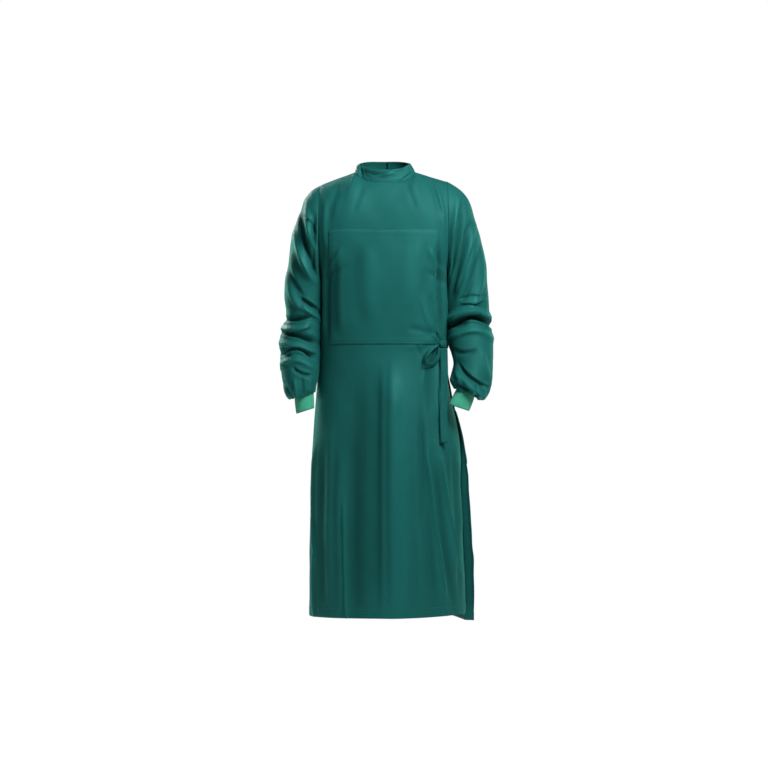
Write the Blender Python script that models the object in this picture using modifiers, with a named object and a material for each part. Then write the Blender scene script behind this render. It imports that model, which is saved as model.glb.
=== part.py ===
"""Surgical gown, a wrap-round gown of woven cloth that opens at the back.

Axes: +X is the wearer's left, the front faces -Y, +Z is up.  The origin is where the
gown hangs on its wearer, at the foot of the neck between the shoulders.  The tables
below are in millimetres; MM turns them into metres.
"""
import math
from collections import namedtuple

import bmesh
import bpy
import numpy as np

MM = 0.001

# Walls and gaps
CLOTH_WALL = 1.2
BAND_WALL = 2.0
KNIT_WALL = 1.8
TAPE_WALL = 1.0
SEAM_GAP = 0.4
ARMHOLE_GAP = 1.3
LAYER_GAP = 0.35

# The neckline, an oval round the foot of the neck
NECK_CENTRE = -3.0
NECK_HALF_WIDTH = 82.0
NECK_DEPTH = {"front": 62.0, "back": 58.0}
NECK_SIDE_HEIGHT = 5.0
NECK_MID_HEIGHT = {"front": -23.0, "back": 8.0}
NECK_SHARE = 0.45          # share of a panel's half that the neckline takes

# The collar band, which leans inwards as it rises
COLLAR_TOP_HALF_WIDTH = 67.0
COLLAR_TOP_DEPTH = {"front": 51.0, "back": 48.0}
COLLAR_TOP_SIDE = 30.0
COLLAR_TOP_MID = {"front": 9.0, "back": 38.0}
COLLAR_UNDER_END = 174.0   # degrees round the neck, 0 at the front, 90 at the wearer's left
COLLAR_OVER_END = -205.0
COLLAR_LAP = 3.4
COLLAR_RAISE = 2.0         # above the neckline

# Armholes: ovals that stand at the sides of the yoke
CHEST_LINE = -150.0
ARMHOLE_DEPTH = 78.0
Armhole = namedtuple("Armhole", "side tip_x tip_height underarm")
ARMHOLE_RIGHT = Armhole(-1, -177.0, -30.0, -270.0)
ARMHOLE_LEFT = Armhole(1, 164.5, -20.0, -280.0)

# Level sections of the body: where the sides lie and how far front and back stand out
ROUNDNESS = 2.3            # exponent of the sections, 2 is an ellipse
Section = namedtuple("Section", "height right front_left flap_left front_depth back_depth")
BODY_SECTIONS = [
    Section(-150, -181.0, 166.5, 168.5, 113, 118),
    Section(-215, -179.5, 166.0, 168.0, 124, 124),
    Section(-275, -177.0, 164.5, 167.5, 130, 127),
    Section(-340, -175.0, 163.5, 167.0, 130, 125),
    Section(-400, -175.5, 163.0, 166.5, 127, 121),
    Section(-460, -178.0, 162.0, 166.0, 123, 117),
    Section(-530, -182.0, 163.0, 167.0, 128, 122),
    Section(-600, -188.0, 174.0, 178.5, 137, 132),
    Section(-660, -192.0, 187.0, 193.0, 143, 139),
    Section(-740, -197.0, 200.0, 208.0, 149, 147),
    Section(-850, -202.0, 200.5, 219.5, 156, 156),
    Section(-960, -205.0, 205.5, 227.5, 161, 161),
    Section(-1080, -206.0, 211.5, 232.0, 165, 166),
    Section(-1190, -206.0, 214.0, 233.0, 168, 169),
]
UNDERLAP = 6.0             # how far the inner back panel lies inside the outer one
HEM = -1190.0
HEM_SWING_START = -700.0   # below this the rows tilt towards the hem's own line
FRONT_HEM_RISE = 9.0       # the front hem lifts at the wearer's left
FLAP_HEM_DROP = 17.0       # the outer back panel hangs lower there

# Largest folds: a ridge (positive) or a trough between two points of a panel
Fold = namedtuple("Fold", "top_x top_z end_x end_z half_width height")
FRONT_FOLDS = [
    Fold(112, -720, 166, -1200, 20, 9),
    Fold(146, -700, 208, -1110, 18, 8),
    Fold(140, -840, 190, -1200, 17, -6),
    Fold(-110, -800, -108, -1200, 20, 7),
    Fold(-16, -540, -18, -1150, 24, -6),
    Fold(28, -600, 34, -1190, 24, 5),
    Fold(-178, -640, -186, -1190, 18, 6),
]
BACK_FOLDS = [
    Fold(-120, -520, -140, -1200, 24, 9),
    Fold(-60, -600, -72, -1200, 22, -7),
    Fold(8, -480, 4, -1200, 26, 9),
    Fold(70, -560, 84, -1200, 22, -7),
    Fold(128, -500, 158, -1200, 22, 8),
    Fold(-70, -180, -30, -400, 24, 6),
    Fold(80, -220, 120, -420, 22, 5),
]

# The panels' grids: rows of the yoke, then heights down to the hem
FRONT_YOKE_ROWS = 6
FRONT_HEIGHTS = [-150, -160, -195, -228, -252, -272, -305, -350, -405, -460,
                 -525, -600, -680, -760, -850, -940, -1030, -1110, -1190]
BACK_YOKE_ROWS = 5
BACK_HEIGHTS = [-150, -195, -240, -272, -330, -395, -460, -540, -640, -740,
                -850, -970, -1090, -1190]
FLAP_COLUMNS = 20
UNDER_COLUMNS = 13

# The chest panel: its sides as shares of the front's half width, and its rows
PATCH_SIDES = (-0.627, 0.655)
PATCH_COLUMNS = 13
BESIDE_PATCH_COLUMNS = 5
PATCH_TOP = -160
PATCH_BOTTOM = -460

# Free edges of the two back panels, as a share of the half width at each height
Edge = namedtuple("Edge", "height flap under")
BACK_EDGES = [
    Edge(0, 0.14, -0.12),
    Edge(-150, 0.34, -0.20),
    Edge(-275, 0.66, -0.28),
    Edge(-400, 0.93, -0.33),
    Edge(-460, 0.96, -0.35),
    Edge(-1190, 0.96, -0.40),
]

# Sleeves: each ring spans an outer and an inner point, and stands out front and back
Ring = namedtuple("Ring", "outer_x outer_z inner_x inner_z depth forward")
SLEEVE_RIGHT = [
    Ring(-200, -44, -181.0, -286, 80, 0),
    Ring(-222, -70, -181.5, -300, 80, 0),
    Ring(-235, -107, -181.5, -315, 77, -2),
    Ring(-246, -160, -181.5, -332, 73, -4),
    Ring(-257, -214, -181.5, -350, 69, -6),
    Ring(-266, -270, -181.5, -370, 66, -6),
    Ring(-272, -325, -182.0, -392, 64, -5),
    Ring(-267, -378, -182.5, -415, 62, -1),
    Ring(-281, -420, -184.0, -442, 62, 6),
    Ring(-286, -460, -186.0, -472, 61, 16),
    Ring(-284, -505, -188.0, -508, 60, 28),
    Ring(-279, -550, -190.0, -542, 57, 41),
    Ring(-271, -588, -192.0, -570, 50, 51),
    Ring(-257, -606, -189.5, -586, 38, 56),
    Ring(-243, -592.6, -196.0, -577.6, 25, 58),
]
SLEEVE_LEFT = [
    Ring(190, -35, 170.0, -292, 80, 0),
    Ring(212, -53, 171.0, -304, 80, 0),
    Ring(228, -80, 171.0, -317, 78, -2),
    Ring(241, -125, 171.0, -332, 74, -4),
    Ring(254, -185, 171.5, -350, 70, -6),
    Ring(265, -245, 172.0, -368, 67, -6),
    Ring(274, -310, 173.0, -388, 65, -4),
    Ring(279, -370, 172.0, -410, 63, 0),
    Ring(284, -415, 172.5, -436, 63, 8),
    Ring(288, -455, 174.5, -465, 63, 20),
    Ring(288, -505, 182.0, -505, 62, 35),
    Ring(285, -550, 175.0, -542, 60, 52),
    Ring(277, -590, 171.0, -563, 53, 68),
    Ring(258, -612, 180.0, -586, 40, 76),
    Ring(238, -586.2, 190.0, -582.2, 25, 82),
]
CUFF_RIGHT = [
    Ring(-243, -595, -196.0, -580, 25, 58),
    Ring(-242, -620, -194.0, -605, 25, 60),
    Ring(-240, -646, -192.0, -630, 26, 62),
]
CUFF_LEFT = [
    Ring(238, -589, 190.0, -585, 25, 82),
    Ring(230, -614, 178.0, -602, 26, 85),
    Ring(222, -638, 167.0, -620, 27, 88),
]
SLEEVE_SIDES = 20
# Folds of a sleeve: where along it (ring number), where round it (degrees, 0 is the outer
# line and 90 the front), how they wind, half width in rings, and height
SleeveFold = namedtuple("SleeveFold", "ring angle twist half_width height")
SLEEVE_RIGHT_FOLDS = [
    SleeveFold(4.5, 110, -0.010, 0.9, -7),
    SleeveFold(9.2, 60, 0.008, 0.7, -6),
    SleeveFold(12.0, 80, -0.008, 0.7, -6),
    SleeveFold(7.0, 250, 0.008, 0.9, -5),
]
SLEEVE_LEFT_FOLDS = [
    SleeveFold(5.0, 120, 0.012, 0.9, -6),
    SleeveFold(8.9, 80, -0.006, 0.7, -7),
    SleeveFold(11.8, 110, 0.010, 0.7, -6),
    SleeveFold(7.0, 250, -0.008, 0.9, -5),
]
FOLD_REACH = 70.0          # degrees round the sleeve

# The waist tie, knotted on the wearer's left
TIE_HEIGHT = -459.0
TIE_WIDTH = 20.0
KNOT_CENTRE = (150.0, -77.6, -459.0)
KNOT_RADII = (12.0, 7.0, 11.0)
STRAP_START = 104.0        # degrees round the waist, 90 at the wearer's left side
STRAP_END = 59.0
STRAP_STEPS = 12
LOOP_START = (140.3, -465.5)
LOOP_STANDS_OFF = 13.8
LOOP_LENGTH = 60.0
LOOP_HALF_WIDTH = 13.0
LOOP_MOUTH = 1.6
LOOP_LEAN = 33.0           # degrees that the loop swings from straight down
LOOP_STEPS = 20
LOOP_TAPE_WIDTH = 15.0
LOOP_FLARE = math.radians(42)   # how far the loop's tape turns its face outwards
TapeEnd = namedtuple("TapeEnd", "name x top bottom lean out top_out width")
TIE_ENDS = [
    TapeEnd("tie_end_front", 154.5, -470.6, -722, 0.0, 9.8, 5.2, 20.0),
    TapeEnd("tie_end_back", 154.5, -470.9, -655, -3.5, 3.4, 9.0, 20.0),
]
TAPE_STEPS = 8

# The neck tie at the back of the collar
NECK_KNOT_CENTRE = (24.0, 61.6, 22.0)
NECK_KNOT_RADII = (8.0, 5.5, 8.0)
NECK_ENDS = [
    TapeEnd("neck_tie_end_long", 20.0, 14, -150, -6.0, 2.8, 4.4, 12.0),
    TapeEnd("neck_tie_end_short", 33.0, 14, -118, 6.0, 2.8, 6.0, 12.0),
]


def tidy_scene(name):
    """Empty the scene and give it one collection for the gown."""
    for thing in list(bpy.data.objects):
        bpy.data.objects.remove(thing)
    collection = bpy.data.collections.new(name)
    bpy.context.scene.collection.children.link(collection)
    return collection


def finish(name, colour, roughness):
    """A Principled material of one colour."""
    material = bpy.data.materials.new(name)
    material.use_nodes = True
    shader = material.node_tree.nodes["Principled BSDF"]
    shader.inputs["Base Color"].default_value = (*colour, 1.0)
    shader.inputs["Roughness"].default_value = roughness
    shader.inputs["Metallic"].default_value = 0.0
    return material


def smooth(at, heights, values):
    """Read a table between its rows along a cubic that passes through every row."""
    order = np.argsort(heights)
    x = np.asarray(heights, float)[order]
    y = np.asarray(values, float)[order]
    slope = np.gradient(y, x)
    at = np.clip(at, x[0], x[-1])
    k = np.clip(np.searchsorted(x, at) - 1, 0, len(x) - 2)
    step = x[k + 1] - x[k]
    t = (at - x[k]) / step
    return ((1 + 2 * t) * (1 - t) ** 2 * y[k] + t * (1 - t) ** 2 * step * slope[k]
            + t ** 2 * (3 - 2 * t) * y[k + 1] - t ** 2 * (1 - t) * step * slope[k + 1])


def column(table, name):
    """One column of a table."""
    return [getattr(row, name) for row in table]


def body_value(name, height):
    """One size of the body at a height."""
    return smooth(height, column(BODY_SECTIONS, "height"), column(BODY_SECTIONS, name))


def ease(t):
    """A share that starts and ends softly."""
    t = np.clip(t, 0.0, 1.0)
    return t * t * (3 - 2 * t)


def cut_fraction(height, hole, depth):
    """The share of a whole section that is left at the armhole's oval, 1 below it."""
    drop = np.clip((CHEST_LINE - height) / (CHEST_LINE - hole.underarm), 0, 1)
    stands_out = ARMHOLE_DEPTH * np.sqrt(1 - drop ** 2)
    return (1 - np.clip(stands_out / depth, 0, 1) ** ROUNDNESS) ** (1 / ROUNDNESS)


def level_section(share, height, face, left, inset=0.0):
    """A point of the body below the chest line.

    x follows the sine of an angle that runs with the share.  y follows a superellipse,
    cut off at the armhole's edge above the underarm.
    """
    depth = body_value(face + "_depth", height) - inset
    right_x = body_value("right", height)
    left_x = body_value(left, height)
    centre = (right_x + left_x) / 2
    half = (left_x - right_x) / 2
    fraction = np.sin(np.abs(share) * math.pi / 2)
    cut = np.where(share < 0, cut_fraction(height, ARMHOLE_RIGHT, depth),
                   cut_fraction(height, ARMHOLE_LEFT, depth))
    x = centre + np.sign(share) * half * fraction
    y = depth * np.clip(1 - (fraction * cut) ** ROUNDNESS, 0, 1) ** (1 / ROUNDNESS)
    return x, -y if face == "front" else y, height + 0 * share


def top_edge(share, face, inset=0.0):
    """The neckline's oval in the middle, then the straight shoulder seam to its tip."""
    turn = np.clip(share / NECK_SHARE, -1, 1) * math.pi / 2
    beyond = np.clip((np.abs(share) - NECK_SHARE) / (1 - NECK_SHARE), 0, 1)
    tip_x = np.where(share < 0, ARMHOLE_RIGHT.tip_x, ARMHOLE_LEFT.tip_x)
    tip_z = np.where(share < 0, ARMHOLE_RIGHT.tip_height, ARMHOLE_LEFT.tip_height)
    neck_x = NECK_CENTRE + NECK_HALF_WIDTH * np.sin(turn)
    y = (NECK_DEPTH[face] - inset) * np.cos(turn)
    middle = NECK_MID_HEIGHT[face]
    neck_z = middle + (NECK_SIDE_HEIGHT - middle) * np.sin(turn) ** 4
    x = neck_x + (tip_x - neck_x) * beyond
    z = neck_z + (tip_z - neck_z) * beyond
    return x, -y if face == "front" else y, z


def yoke(share, fall, face, left, inset=0.0):
    """A point between the top edge and the chest line.

    Over the shoulder each column is a quarter of an oval; under the neckline it is
    straighter.
    """
    x0, y0, z0 = top_edge(share, face, inset)
    x1, y1, z1 = level_section(share, CHEST_LINE + 0 * share, face, left, inset)
    bend = 0.4 + 0.6 * ease(np.abs(share) / NECK_SHARE)
    quarter = fall * math.pi / 2
    down = (1 - bend) * fall + bend * (1 - np.cos(quarter))
    out = (1 - bend) * fall + bend * np.sin(quarter)
    across = np.sin(quarter) ** 2
    return x0 + (x1 - x0) * across, y0 + (y1 - y0) * out, z0 + (z1 - z0) * down


def normals(grid):
    """The outward direction at each point of a grid whose rows run down the body."""
    along = np.gradient(grid, axis=1)
    down = np.gradient(grid, axis=0)
    normal = np.cross(along, down)
    size = np.linalg.norm(normal, axis=2, keepdims=True)
    return normal / np.maximum(size, 1e-9)


def fold_height(folds, x, z):
    """The sum of the folds: each is a bell across its line, fading at both ends."""
    total = np.zeros_like(x)
    for fold in folds:
        run = np.array([fold.end_x - fold.top_x, fold.end_z - fold.top_z], float)
        length = np.linalg.norm(run)
        run /= length
        along = ((x - fold.top_x) * run[0] + (z - fold.top_z) * run[1]) / length
        across = (x - fold.top_x) * run[1] - (z - fold.top_z) * run[0]
        fade = ease(along / 0.35) * ease((1.12 - along) / 0.12)
        total += fold.height * fade * np.exp(-(across / fold.half_width) ** 2)
    return total


def panel_grid(face, left, shares, yoke_rows, heights, folds, inset=0.0, hem=None):
    """All the points of a body panel: rows of the yoke, then level rows to the hem.

    shares is a function that gives a row's columns for a height.
    """
    rows = []
    for k in range(yoke_rows):
        fall = k / yoke_rows
        share = shares(CHEST_LINE * fall)
        rows.append(np.stack(yoke(share, fall, face, left, inset), axis=1))
    for height in heights:
        share = shares(height)
        x, y, z = level_section(share, height + 0 * share, face, left, inset)
        if hem:
            z = z + hem(share) * ease((HEM_SWING_START - height) / (HEM_SWING_START - HEM))
        rows.append(np.stack([x, y, z], axis=1))
    grid = np.array(rows)
    out = normals(grid) * (1 if face == "front" else -1)
    lift = fold_height(folds, grid[..., 0], grid[..., 2])
    grid = grid + out * lift[..., None]
    grid[..., 1] += (-1 if face == "front" else 1) * SEAM_GAP / 2
    return grid, out


def front_grid():
    """The front panel's points, from the wearer's right to the left."""
    right, left = PATCH_SIDES
    share = np.concatenate([np.linspace(-1, right, BESIDE_PATCH_COLUMNS + 1),
                            np.linspace(right, left, PATCH_COLUMNS + 1)[1:],
                            np.linspace(left, 1, BESIDE_PATCH_COLUMNS + 1)[1:]])
    return panel_grid("front", "front_left", lambda height: share, FRONT_YOKE_ROWS,
                      FRONT_HEIGHTS, FRONT_FOLDS,
                      hem=lambda s: FRONT_HEM_RISE * ease(s))


def edge_share(name, height):
    """Where a back panel's free edge lies at a height."""
    return smooth(height, column(BACK_EDGES, "height"), column(BACK_EDGES, name))


def flap_grid():
    """The outer back panel, from the right side seam to its free edge at the left."""
    def shares(height):
        return np.linspace(-1, edge_share("flap", height), FLAP_COLUMNS + 1)
    return panel_grid("back", "flap_left", shares, BACK_YOKE_ROWS, BACK_HEIGHTS, BACK_FOLDS,
                      hem=lambda s: -FLAP_HEM_DROP * ease(s))


def under_grid():
    """The inner back panel, from its free edge to the left side seam.

    It lies UNDERLAP inside the outer panel, and comes out to the seam lines.
    """
    def shares(height):
        return np.linspace(edge_share("under", height), 1, UNDER_COLUMNS + 1)
    return panel_grid("back", "front_left", shares, BACK_YOKE_ROWS, BACK_HEIGHTS, BACK_FOLDS,
                      inset=UNDERLAP)


def mesh_object(collection, name, points, faces, material, rounded=True):
    """Put points, in millimetres, and faces into a named object."""
    mesh = bpy.data.meshes.new(name)
    mesh.from_pydata([tuple(p * MM) for p in points], [], faces)
    mesh.materials.append(material)
    if rounded:
        mesh.shade_smooth()
    thing = bpy.data.objects.new(name, mesh)
    collection.objects.link(thing)
    return thing


def sheet(collection, name, grid, wall, material, closed=False, flip=False):
    """A wall of cloth: a grid of points made into faces and thickened on both sides."""
    rows, columns = grid.shape[:2]
    wide = columns if closed else columns - 1
    faces = []
    for r in range(rows - 1):
        for c in range(wide):
            d = (c + 1) % columns
            face = (r * columns + c, (r + 1) * columns + c,
                    (r + 1) * columns + d, r * columns + d)
            faces.append(face[::-1] if flip else face)
    thing = mesh_object(collection, name, grid.reshape(-1, 3), faces, material)
    thicken = thing.modifiers.new("wall", "SOLIDIFY")
    thicken.thickness = wall * MM
    thicken.offset = 0.0
    return thing


def armhole_ring(hole, angles):
    """The armhole's oval, a gap outside the body's edge; angle 0 is the shoulder tip."""
    upper = np.cos(angles) > 0
    reach = np.where(upper, hole.tip_height - CHEST_LINE, CHEST_LINE - hole.underarm)
    z = CHEST_LINE + reach * np.cos(angles)
    side = "right" if hole.side < 0 else "front_left"
    chest_x = body_value(side, np.array([CHEST_LINE]))[0]
    above = hole.tip_x + (chest_x - hole.tip_x) * np.sin(angles) ** 2
    x = np.where(upper, above, body_value(side, z)) + hole.side * ARMHOLE_GAP
    y = -ARMHOLE_DEPTH * np.sin(angles)
    return np.stack([x, y, z], axis=1)


def ring_points(ring, angles):
    """A ring: an oval with one axis from outer to inner point, the other front to back."""
    outer = np.array([ring.outer_x, -ring.forward, ring.outer_z], float)
    inner = np.array([ring.inner_x, -ring.forward, ring.inner_z], float)
    middle = (outer + inner) / 2
    axis = (outer - inner) / 2
    front = np.array([0.0, -ring.depth, 0.0])
    return middle + np.cos(angles)[:, None] * axis + np.sin(angles)[:, None] * front


def sleeve_grid(hole, rings, folds):
    """A sleeve from its armhole through its rings, with its largest folds pressed in."""
    angles = np.linspace(0, 2 * math.pi, SLEEVE_SIDES, endpoint=False)
    rows = [armhole_ring(hole, angles)] + [ring_points(ring, angles) for ring in rings]
    grid = np.array(rows)
    middle = grid.mean(axis=1, keepdims=True)
    number = np.arange(len(rows))[:, None] + 0 * angles[None, :]
    degrees = np.degrees(angles)[None, :] + 0 * number
    scale = np.ones(number.shape)
    for fold in folds:
        away = (degrees - fold.angle + 180) % 360 - 180
        line = fold.ring + fold.twist * away
        bell = np.exp(-((number - line) / fold.half_width) ** 2 - (away / FOLD_REACH) ** 2)
        size = np.linalg.norm(grid - middle, axis=2)
        scale += fold.height / size * bell * ease(number / 2)
    return middle + (grid - middle) * scale[..., None]


def cuff_grid(rings):
    """A rib-knit cuff, a short tube."""
    angles = np.linspace(0, 2 * math.pi, SLEEVE_SIDES, endpoint=False)
    return np.array([ring_points(ring, angles) for ring in rings])


def collar_grid():
    """The collar band: from its end over the lap, round the front, to the end below."""
    turn = np.radians(np.linspace(COLLAR_OVER_END, COLLAR_UNDER_END, 33))
    front = np.cos(turn) > 0
    side = np.sin(turn) ** 4

    def pick(pair):
        return np.where(front, pair["front"], pair["back"])

    lap = COLLAR_LAP * ease((-np.degrees(turn) - 140) / 30)
    foot_z = pick(NECK_MID_HEIGHT) + (NECK_SIDE_HEIGHT - pick(NECK_MID_HEIGHT)) * side
    top_z = pick(COLLAR_TOP_MID) + (COLLAR_TOP_SIDE - pick(COLLAR_TOP_MID)) * side
    foot_z = foot_z + COLLAR_RAISE
    rows = []
    for share in (0.0, 0.5, 1.0):
        half = NECK_HALF_WIDTH + (COLLAR_TOP_HALF_WIDTH - NECK_HALF_WIDTH) * share + lap
        depth = pick(NECK_DEPTH) + (pick(COLLAR_TOP_DEPTH) - pick(NECK_DEPTH)) * share + lap
        x = NECK_CENTRE + half * np.sin(turn)
        y = -depth * np.cos(turn)
        z = foot_z + (top_z - foot_z) * share
        rows.append(np.stack([x, y, z], axis=1))
    return np.array(rows)


def ribbon(collection, name, middle, across, width, material):
    """A flat tape along a path; across gives the direction of its width at each point."""
    across = across / np.linalg.norm(across, axis=1, keepdims=True)
    grid = np.array([middle - across * width / 2, middle + across * width / 2])
    return sheet(collection, name, grid, TAPE_WALL, material)


def waist_strap(collection, material):
    """The strap sewn to the outer back panel's edge, round the side to the knot."""
    turn = np.radians(np.linspace(STRAP_START, STRAP_END, STRAP_STEPS + 1))
    height = np.full(turn.shape, TIE_HEIGHT)
    right = body_value("right", height)
    left = body_value("flap_left", height)
    lift = CLOTH_WALL / 2 + TAPE_WALL / 2 + 2 * LAYER_GAP
    half = (left - right) / 2 + lift
    depth = np.where(turn > math.pi / 2, body_value("back_depth", height),
                     body_value("front_depth", height)) + lift
    power = 2 / ROUNDNESS
    x = (left + right) / 2 + half * np.abs(np.sin(turn)) ** power
    y = -np.sign(np.cos(turn)) * depth * np.abs(np.cos(turn)) ** power
    middle = np.stack([x, y, height], axis=1)
    up = np.tile([0.0, 0.0, 1.0], (len(turn), 1))
    return ribbon(collection, "waist_strap", middle, up, TIE_WIDTH, material)


def knot(collection, name, centre, radii, material):
    """A knot, a small rounded body."""
    mesh = bpy.data.meshes.new(name)
    shape = bmesh.new()
    bmesh.ops.create_uvsphere(shape, u_segments=12, v_segments=8, radius=1.0)
    size = [r * MM for r in radii]
    place = [c * MM for c in centre]
    bmesh.ops.scale(shape, vec=size, verts=shape.verts)
    bmesh.ops.translate(shape, vec=place, verts=shape.verts)
    shape.to_mesh(mesh)
    shape.free()
    mesh.materials.append(material)
    mesh.shade_smooth()
    thing = bpy.data.objects.new(name, mesh)
    collection.objects.link(thing)
    return thing


def tie_loop(collection, points, material):
    """The bow's loop: a drop of tape that leaves the knot and comes back to it.

    The path runs out along the drop's axis and back, and swings to either side by a sine
    that is widest near the far end.
    """
    turn = np.linspace(0, 2 * math.pi, LOOP_STEPS + 1)
    along = LOOP_LENGTH * (1 - np.cos(turn)) / 2
    aside = LOOP_HALF_WIDTH * np.sin(turn) * np.sqrt(np.abs(np.sin(turn / 2)))
    aside = aside + LOOP_MOUTH * np.cos(turn / 2)
    lean = math.radians(LOOP_LEAN)
    x = LOOP_START[0] - along * math.sin(lean) + aside * math.cos(lean)
    z = LOOP_START[1] - along * math.cos(lean) - aside * math.sin(lean)
    y = face_y(points, x, z) - LOOP_STANDS_OFF
    middle = np.stack([x, y, z], axis=1)
    outwards = middle - middle.mean(axis=0)
    outwards[:, 1] = 0.0
    outwards /= np.linalg.norm(outwards, axis=1, keepdims=True)
    across = outwards * math.sin(LOOP_FLARE) + np.array([0.0, -math.cos(LOOP_FLARE), 0.0])
    return ribbon(collection, "tie_loop", middle, across, LOOP_TAPE_WIDTH, material)


def outer_face(face):
    """A close grid of the points of the front or of the outer back panel."""
    heights = np.linspace(CHEST_LINE, HEM, 160)
    if face == "front":
        share = np.linspace(-1, 1, 160)
        grid, _ = panel_grid("front", "front_left", lambda height: share, 40, heights,
                             FRONT_FOLDS)
    else:
        grid, _ = panel_grid("back", "flap_left",
                             lambda height: np.linspace(-1, edge_share("flap", height), 160),
                             40, heights, BACK_FOLDS)
    return grid.reshape(-1, 3)


def face_y(points, x, z):
    """How far out the cloth lies at x and z: the y of the nearest point of its grid."""
    away = (points[:, 0] - np.reshape(x, (-1, 1))) ** 2
    away = away + (points[:, 2] - np.reshape(z, (-1, 1))) ** 2
    return points[np.argmin(away, axis=1), 1]


def hanging_tape(collection, end, face, points, material):
    """A tie's free end, flat, which hangs down just off the panel behind it."""
    z = np.linspace(end.top, end.bottom, TAPE_STEPS + 1)
    down = (end.top - z) / (end.top - end.bottom)
    x = end.x + end.lean * down + 1.2 * np.sin(down * 7.0)
    toward = -1 if face == "front" else 1
    near = [face_y(points, x + share * end.width / 2, z) for share in (-1, -0.5, 0, 0.5, 1)]
    furthest = np.max(np.array(near) * toward, axis=0)
    y = toward * (furthest + end.out + end.top_out * (1 - down) ** 3)
    edges = [np.stack([x + side, y, z], axis=1) for side in (-end.width / 2, end.width / 2)]
    return sheet(collection, end.name, np.array(edges), TAPE_WALL, material)


def main():
    """Build every piece of the gown."""
    collection = tidy_scene("surgical_gown")
    cloth = finish("green woven cloth", (0.012, 0.130, 0.110), 0.55)
    shade = finish("green woven cloth, back", (0.010, 0.110, 0.095), 0.58)
    knit = finish("mint rib knit", (0.045, 0.360, 0.220), 0.80)
    tape = finish("green tape", (0.014, 0.140, 0.120), 0.60)

    front, front_out = front_grid()
    sheet(collection, "front_panel", front, CLOTH_WALL, cloth)
    first = BESIDE_PATCH_COLUMNS
    last = first + PATCH_COLUMNS
    top = FRONT_YOKE_ROWS + FRONT_HEIGHTS.index(PATCH_TOP)
    bottom = FRONT_YOKE_ROWS + FRONT_HEIGHTS.index(PATCH_BOTTOM)
    patch = front + front_out * (CLOTH_WALL + LAYER_GAP)
    sheet(collection, "chest_panel", patch[top:bottom + 1, first:last + 1], CLOTH_WALL, cloth)

    sheet(collection, "back_panel_right", flap_grid()[0], CLOTH_WALL, shade, flip=True)
    sheet(collection, "back_panel_left", under_grid()[0], CLOTH_WALL, shade, flip=True)

    sheet(collection, "sleeve_right", sleeve_grid(ARMHOLE_RIGHT, SLEEVE_RIGHT, SLEEVE_RIGHT_FOLDS),
          CLOTH_WALL, cloth, closed=True)
    sheet(collection, "sleeve_left", sleeve_grid(ARMHOLE_LEFT, SLEEVE_LEFT, SLEEVE_LEFT_FOLDS),
          CLOTH_WALL, cloth, closed=True, flip=True)
    sheet(collection, "cuff_right", cuff_grid(CUFF_RIGHT), KNIT_WALL, knit, closed=True)
    sheet(collection, "cuff_left", cuff_grid(CUFF_LEFT), KNIT_WALL, knit, closed=True, flip=True)
    sheet(collection, "collar_band", collar_grid(), BAND_WALL, cloth)

    waist_strap(collection, tape)
    knot(collection, "tie_knot", KNOT_CENTRE, KNOT_RADII, tape)
    front_face = outer_face("front")
    tie_loop(collection, front_face, tape)
    for end in TIE_ENDS:
        hanging_tape(collection, end, "front", front_face, tape)
    knot(collection, "neck_tie_knot", NECK_KNOT_CENTRE, NECK_KNOT_RADII, tape)
    back_face = outer_face("back")
    for end in NECK_ENDS:
        hanging_tape(collection, end, "back", back_face, tape)


main()
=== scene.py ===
"""Looks of the surgical gown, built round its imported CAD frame.

Axes: +X is the wearer's left, the front faces -Y, +Z is up.  The cut's tables are in
millimetres, as in the CAD; MM turns them into metres.
"""
import math

from collections import namedtuple

import bpy
import numpy as np
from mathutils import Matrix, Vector


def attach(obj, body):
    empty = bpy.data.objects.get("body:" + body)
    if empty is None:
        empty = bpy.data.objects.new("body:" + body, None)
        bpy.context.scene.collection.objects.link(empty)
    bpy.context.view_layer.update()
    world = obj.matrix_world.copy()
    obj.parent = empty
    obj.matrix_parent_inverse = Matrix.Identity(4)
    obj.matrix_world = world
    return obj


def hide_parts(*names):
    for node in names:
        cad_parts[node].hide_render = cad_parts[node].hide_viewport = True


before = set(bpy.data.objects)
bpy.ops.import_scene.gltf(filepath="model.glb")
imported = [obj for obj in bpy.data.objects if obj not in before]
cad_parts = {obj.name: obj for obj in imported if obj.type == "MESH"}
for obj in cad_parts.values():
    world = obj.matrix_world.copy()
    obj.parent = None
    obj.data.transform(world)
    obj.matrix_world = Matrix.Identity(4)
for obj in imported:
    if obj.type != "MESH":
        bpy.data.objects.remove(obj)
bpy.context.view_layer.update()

MM = 0.001

# ---------------------------------------------------------------- the cut

CLOTH_WALL = 1.2
BAND_WALL = 2.0
KNIT_WALL = 1.8
TAPE_WALL = 1.0
SEAM_GAP = 0.3
ARMHOLE_GAP = 0.5
SEAM_HOLD = 14.0           # within this of a seam, the creases fade, so that two panels meet
PATCH_LIFT = 1.7           # from the front's cloth to the chest panel's

NECK_CENTRE = -3.0
NECK_HALF_WIDTH = 82.0
NECK_DEPTH = {"front": 62.0, "back": 58.0}
NECK_SIDE_HEIGHT = 5.0
NECK_MID_HEIGHT = {"front": -23.0, "back": 8.0}
NECK_SHARE = 0.45

COLLAR_TOP_HALF_WIDTH = 67.0
COLLAR_TOP_DEPTH = {"front": 51.0, "back": 48.0}
COLLAR_TOP_SIDE = 30.0
COLLAR_TOP_MID = {"front": 9.0, "back": 38.0}
COLLAR_UNDER_END = 174.0
COLLAR_OVER_END = -205.0
COLLAR_LAP = 3.4
COLLAR_TUCK = {"front": 0.6, "back": 5.0}   # how far its foot reaches down inside the yoke

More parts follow.
